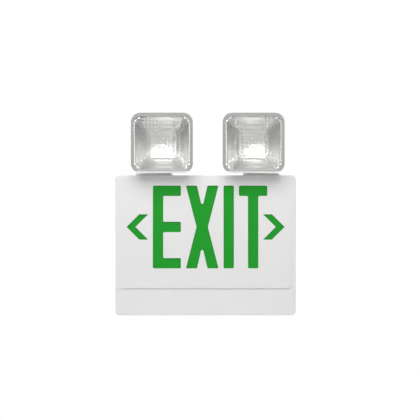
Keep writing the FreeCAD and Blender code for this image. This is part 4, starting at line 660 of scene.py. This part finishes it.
def soft_light(name, power, target):
    """A rectangular lamp of the studio, turned to the target."""
    width, height, place = LAMPS[name]
    data = bpy.data.lights.new(name, "AREA")
    data.shape = "RECTANGLE"
    data.energy = power
    data.size = width
    data.size_y = height
    lamp = bpy.data.objects.new(name, data)
    bpy.context.scene.collection.objects.link(lamp)
    lamp.location = place
    lamp.rotation_euler = (Vector(target) - Vector(place)).to_track_quat("-Z", "Y").to_euler()
    return lamp


def seen_white(tree):
    """1 for the rays that show the background: the camera's own, and those off metal and glass."""
    path = add(tree, "ShaderNodeLightPath").outputs
    mirrored = calc(tree, "MAXIMUM", path["Is Glossy Ray"], path["Is Transmission Ray"])
    return calc(tree, "MAXIMUM", path["Is Camera Ray"], mirrored)


def studio_card(name, reach, paint, grey):
    """A flat matt card of the studio, lying level round the origin."""
    mesh = bmesh.new()
    bmesh.ops.create_grid(mesh, x_segments=1, y_segments=1, size=reach)
    card = new_object(name, kept_mesh(mesh, name))
    material = fresh_material(paint)
    shader = material.node_tree.nodes["Principled BSDF"]
    shader.inputs["Base Color"].default_value = (grey, grey, grey, 1.0)
    shader.inputs["Roughness"].default_value = CARD_ROUGH
    card.data.materials.append(material)
    return card


def studio_floor(level):
    """A pale floor that the camera sees as plain white, and sees through from below."""
    floor = studio_card("studio_floor", FLOOR_REACH, "studio_white", grey=0.85)
    floor.location.z = level
    tree = floor.data.materials[0].node_tree
    glow = add(tree, "ShaderNodeEmission", {"Color": (1.0, 1.0, 1.0, 1.0), "Strength": 1.0})
    mix = add(tree, "ShaderNodeMixShader",
              {0: seen_white(tree), 1: tree.nodes["Principled BSDF"].outputs[0],
               2: glow.outputs[0]})
    clear = add(tree, "ShaderNodeBsdfTransparent")
    under = add(tree, "ShaderNodeNewGeometry").outputs["Backfacing"]
    one_sided = add(tree, "ShaderNodeMixShader",
                    {0: under, 1: mix.outputs[0], 2: clear.outputs[0]})
    tree.links.new(one_sided.outputs[0], tree.nodes["Material Output"].inputs["Surface"])
    return floor


def studio_flag(width, distance):
    """A dark flag behind the camera, which only mirrors and glass show."""
    flag = studio_card("studio_flag", FLAG_REACH, "studio_black", grey=0.02)
    flag.location = (0.0, -distance - FLAG_BEHIND, FLAG_UP)
    flag.rotation_euler.x = math.pi / 2
    flag.scale = (width, width, 1.0)
    flag.visible_camera = False
    flag.visible_diffuse = False
    flag.visible_shadow = False
    return flag


def studio_world(strength):
    """Even light from all round; the camera sees white."""
    world = bpy.data.worlds.new("studio")
    bpy.context.scene.world = world
    world.use_nodes = True
    tree = world.node_tree
    dim = tree.nodes["Background"]
    dim.inputs["Color"].default_value = (1.0, 1.0, 1.0, 1.0)
    dim.inputs["Strength"].default_value = strength
    white = add(tree, "ShaderNodeBackground", {"Color": (1.0, 1.0, 1.0, 1.0), "Strength": 1.0})
    mix = add(tree, "ShaderNodeMixShader",
              {0: seen_white(tree), 1: dim.outputs[0], 2: white.outputs[0]})
    tree.links.new(mix.outputs[0], tree.nodes["World Output"].inputs["Surface"])


class EXITLIGHT_OT_studio(bpy.types.Operator):
    """Sets up the floor, the lights and the camera"""
    bl_idname = "exitlight.studio"
    bl_label = "Studio"

    def execute(self, context):
        wanted = context.scene.exitlight_studio
        scene = context.scene
        scene.view_settings.view_transform = "Standard"
        studio_world(wanted.sky)
        floor = studio_floor(CAD_BOX[0][2] - FLOOR_GAP)
        middle = (wanted.aim_x, AIM_DEPTH, wanted.aim_z)
        lamps = [soft_light("key_light", wanted.key, middle),
                 soft_light("back_light", wanted.back, middle)]
        flag = studio_flag(wanted.flag, wanted.distance)
        data = bpy.data.cameras.new("camera")
        data.lens = wanted.focal
        data.sensor_width = SENSOR
        camera = bpy.data.objects.new("camera", data)
        scene.collection.objects.link(camera)
        camera.location = (wanted.aim_x, -wanted.distance, wanted.aim_z)
        camera.rotation_euler = (math.pi / 2, 0.0, 0.0)
        scene.camera = camera
        return {"FINISHED"}


# ---------------------------------------------------------------- add-on

class EXITLIGHT_PT_panel(bpy.types.Panel):
    """Settings and steps of the exit light"""
    bl_idname = "EXITLIGHT_PT_panel"
    bl_label = "Exit light"
    bl_space_type = "VIEW_3D"
    bl_region_type = "UI"
    bl_category = "Exit light"

    def draw(self, context):
        for operator in OPERATORS:
            self.layout.operator(operator.bl_idname)
        for name, group in SETTINGS.items():
            box = self.layout.box()
            for label in group.__annotations__:
                box.prop(getattr(context.scene, name), label)


SETTINGS = {"exitlight_finish": ExitLightFinish, "exitlight_lens": ExitLightLens,
            "exitlight_gear": ExitLightGear, "exitlight_studio": ExitLightStudio}
OPERATORS = (EXITLIGHT_OT_finishes, EXITLIGHT_OT_lenses, EXITLIGHT_OT_small_parts,
             EXITLIGHT_OT_studio)
CLASSES = (*SETTINGS.values(), *OPERATORS, EXITLIGHT_PT_panel)


def register():
    for item in CLASSES:
        bpy.utils.register_class(item)
    for name, group in SETTINGS.items():
        setattr(bpy.types.Scene, name, bpy.props.PointerProperty(type=group))


def unregister():
    for name in SETTINGS:
        delattr(bpy.types.Scene, name)
    for item in reversed(CLASSES):
        bpy.utils.unregister_class(item)


def main():
    register()
    bpy.ops.exitlight.finishes()
    bpy.ops.exitlight.lenses()
    bpy.ops.exitlight.small_parts()
    bpy.ops.exitlight.studio()


if __name__ == "__main__":
    main()
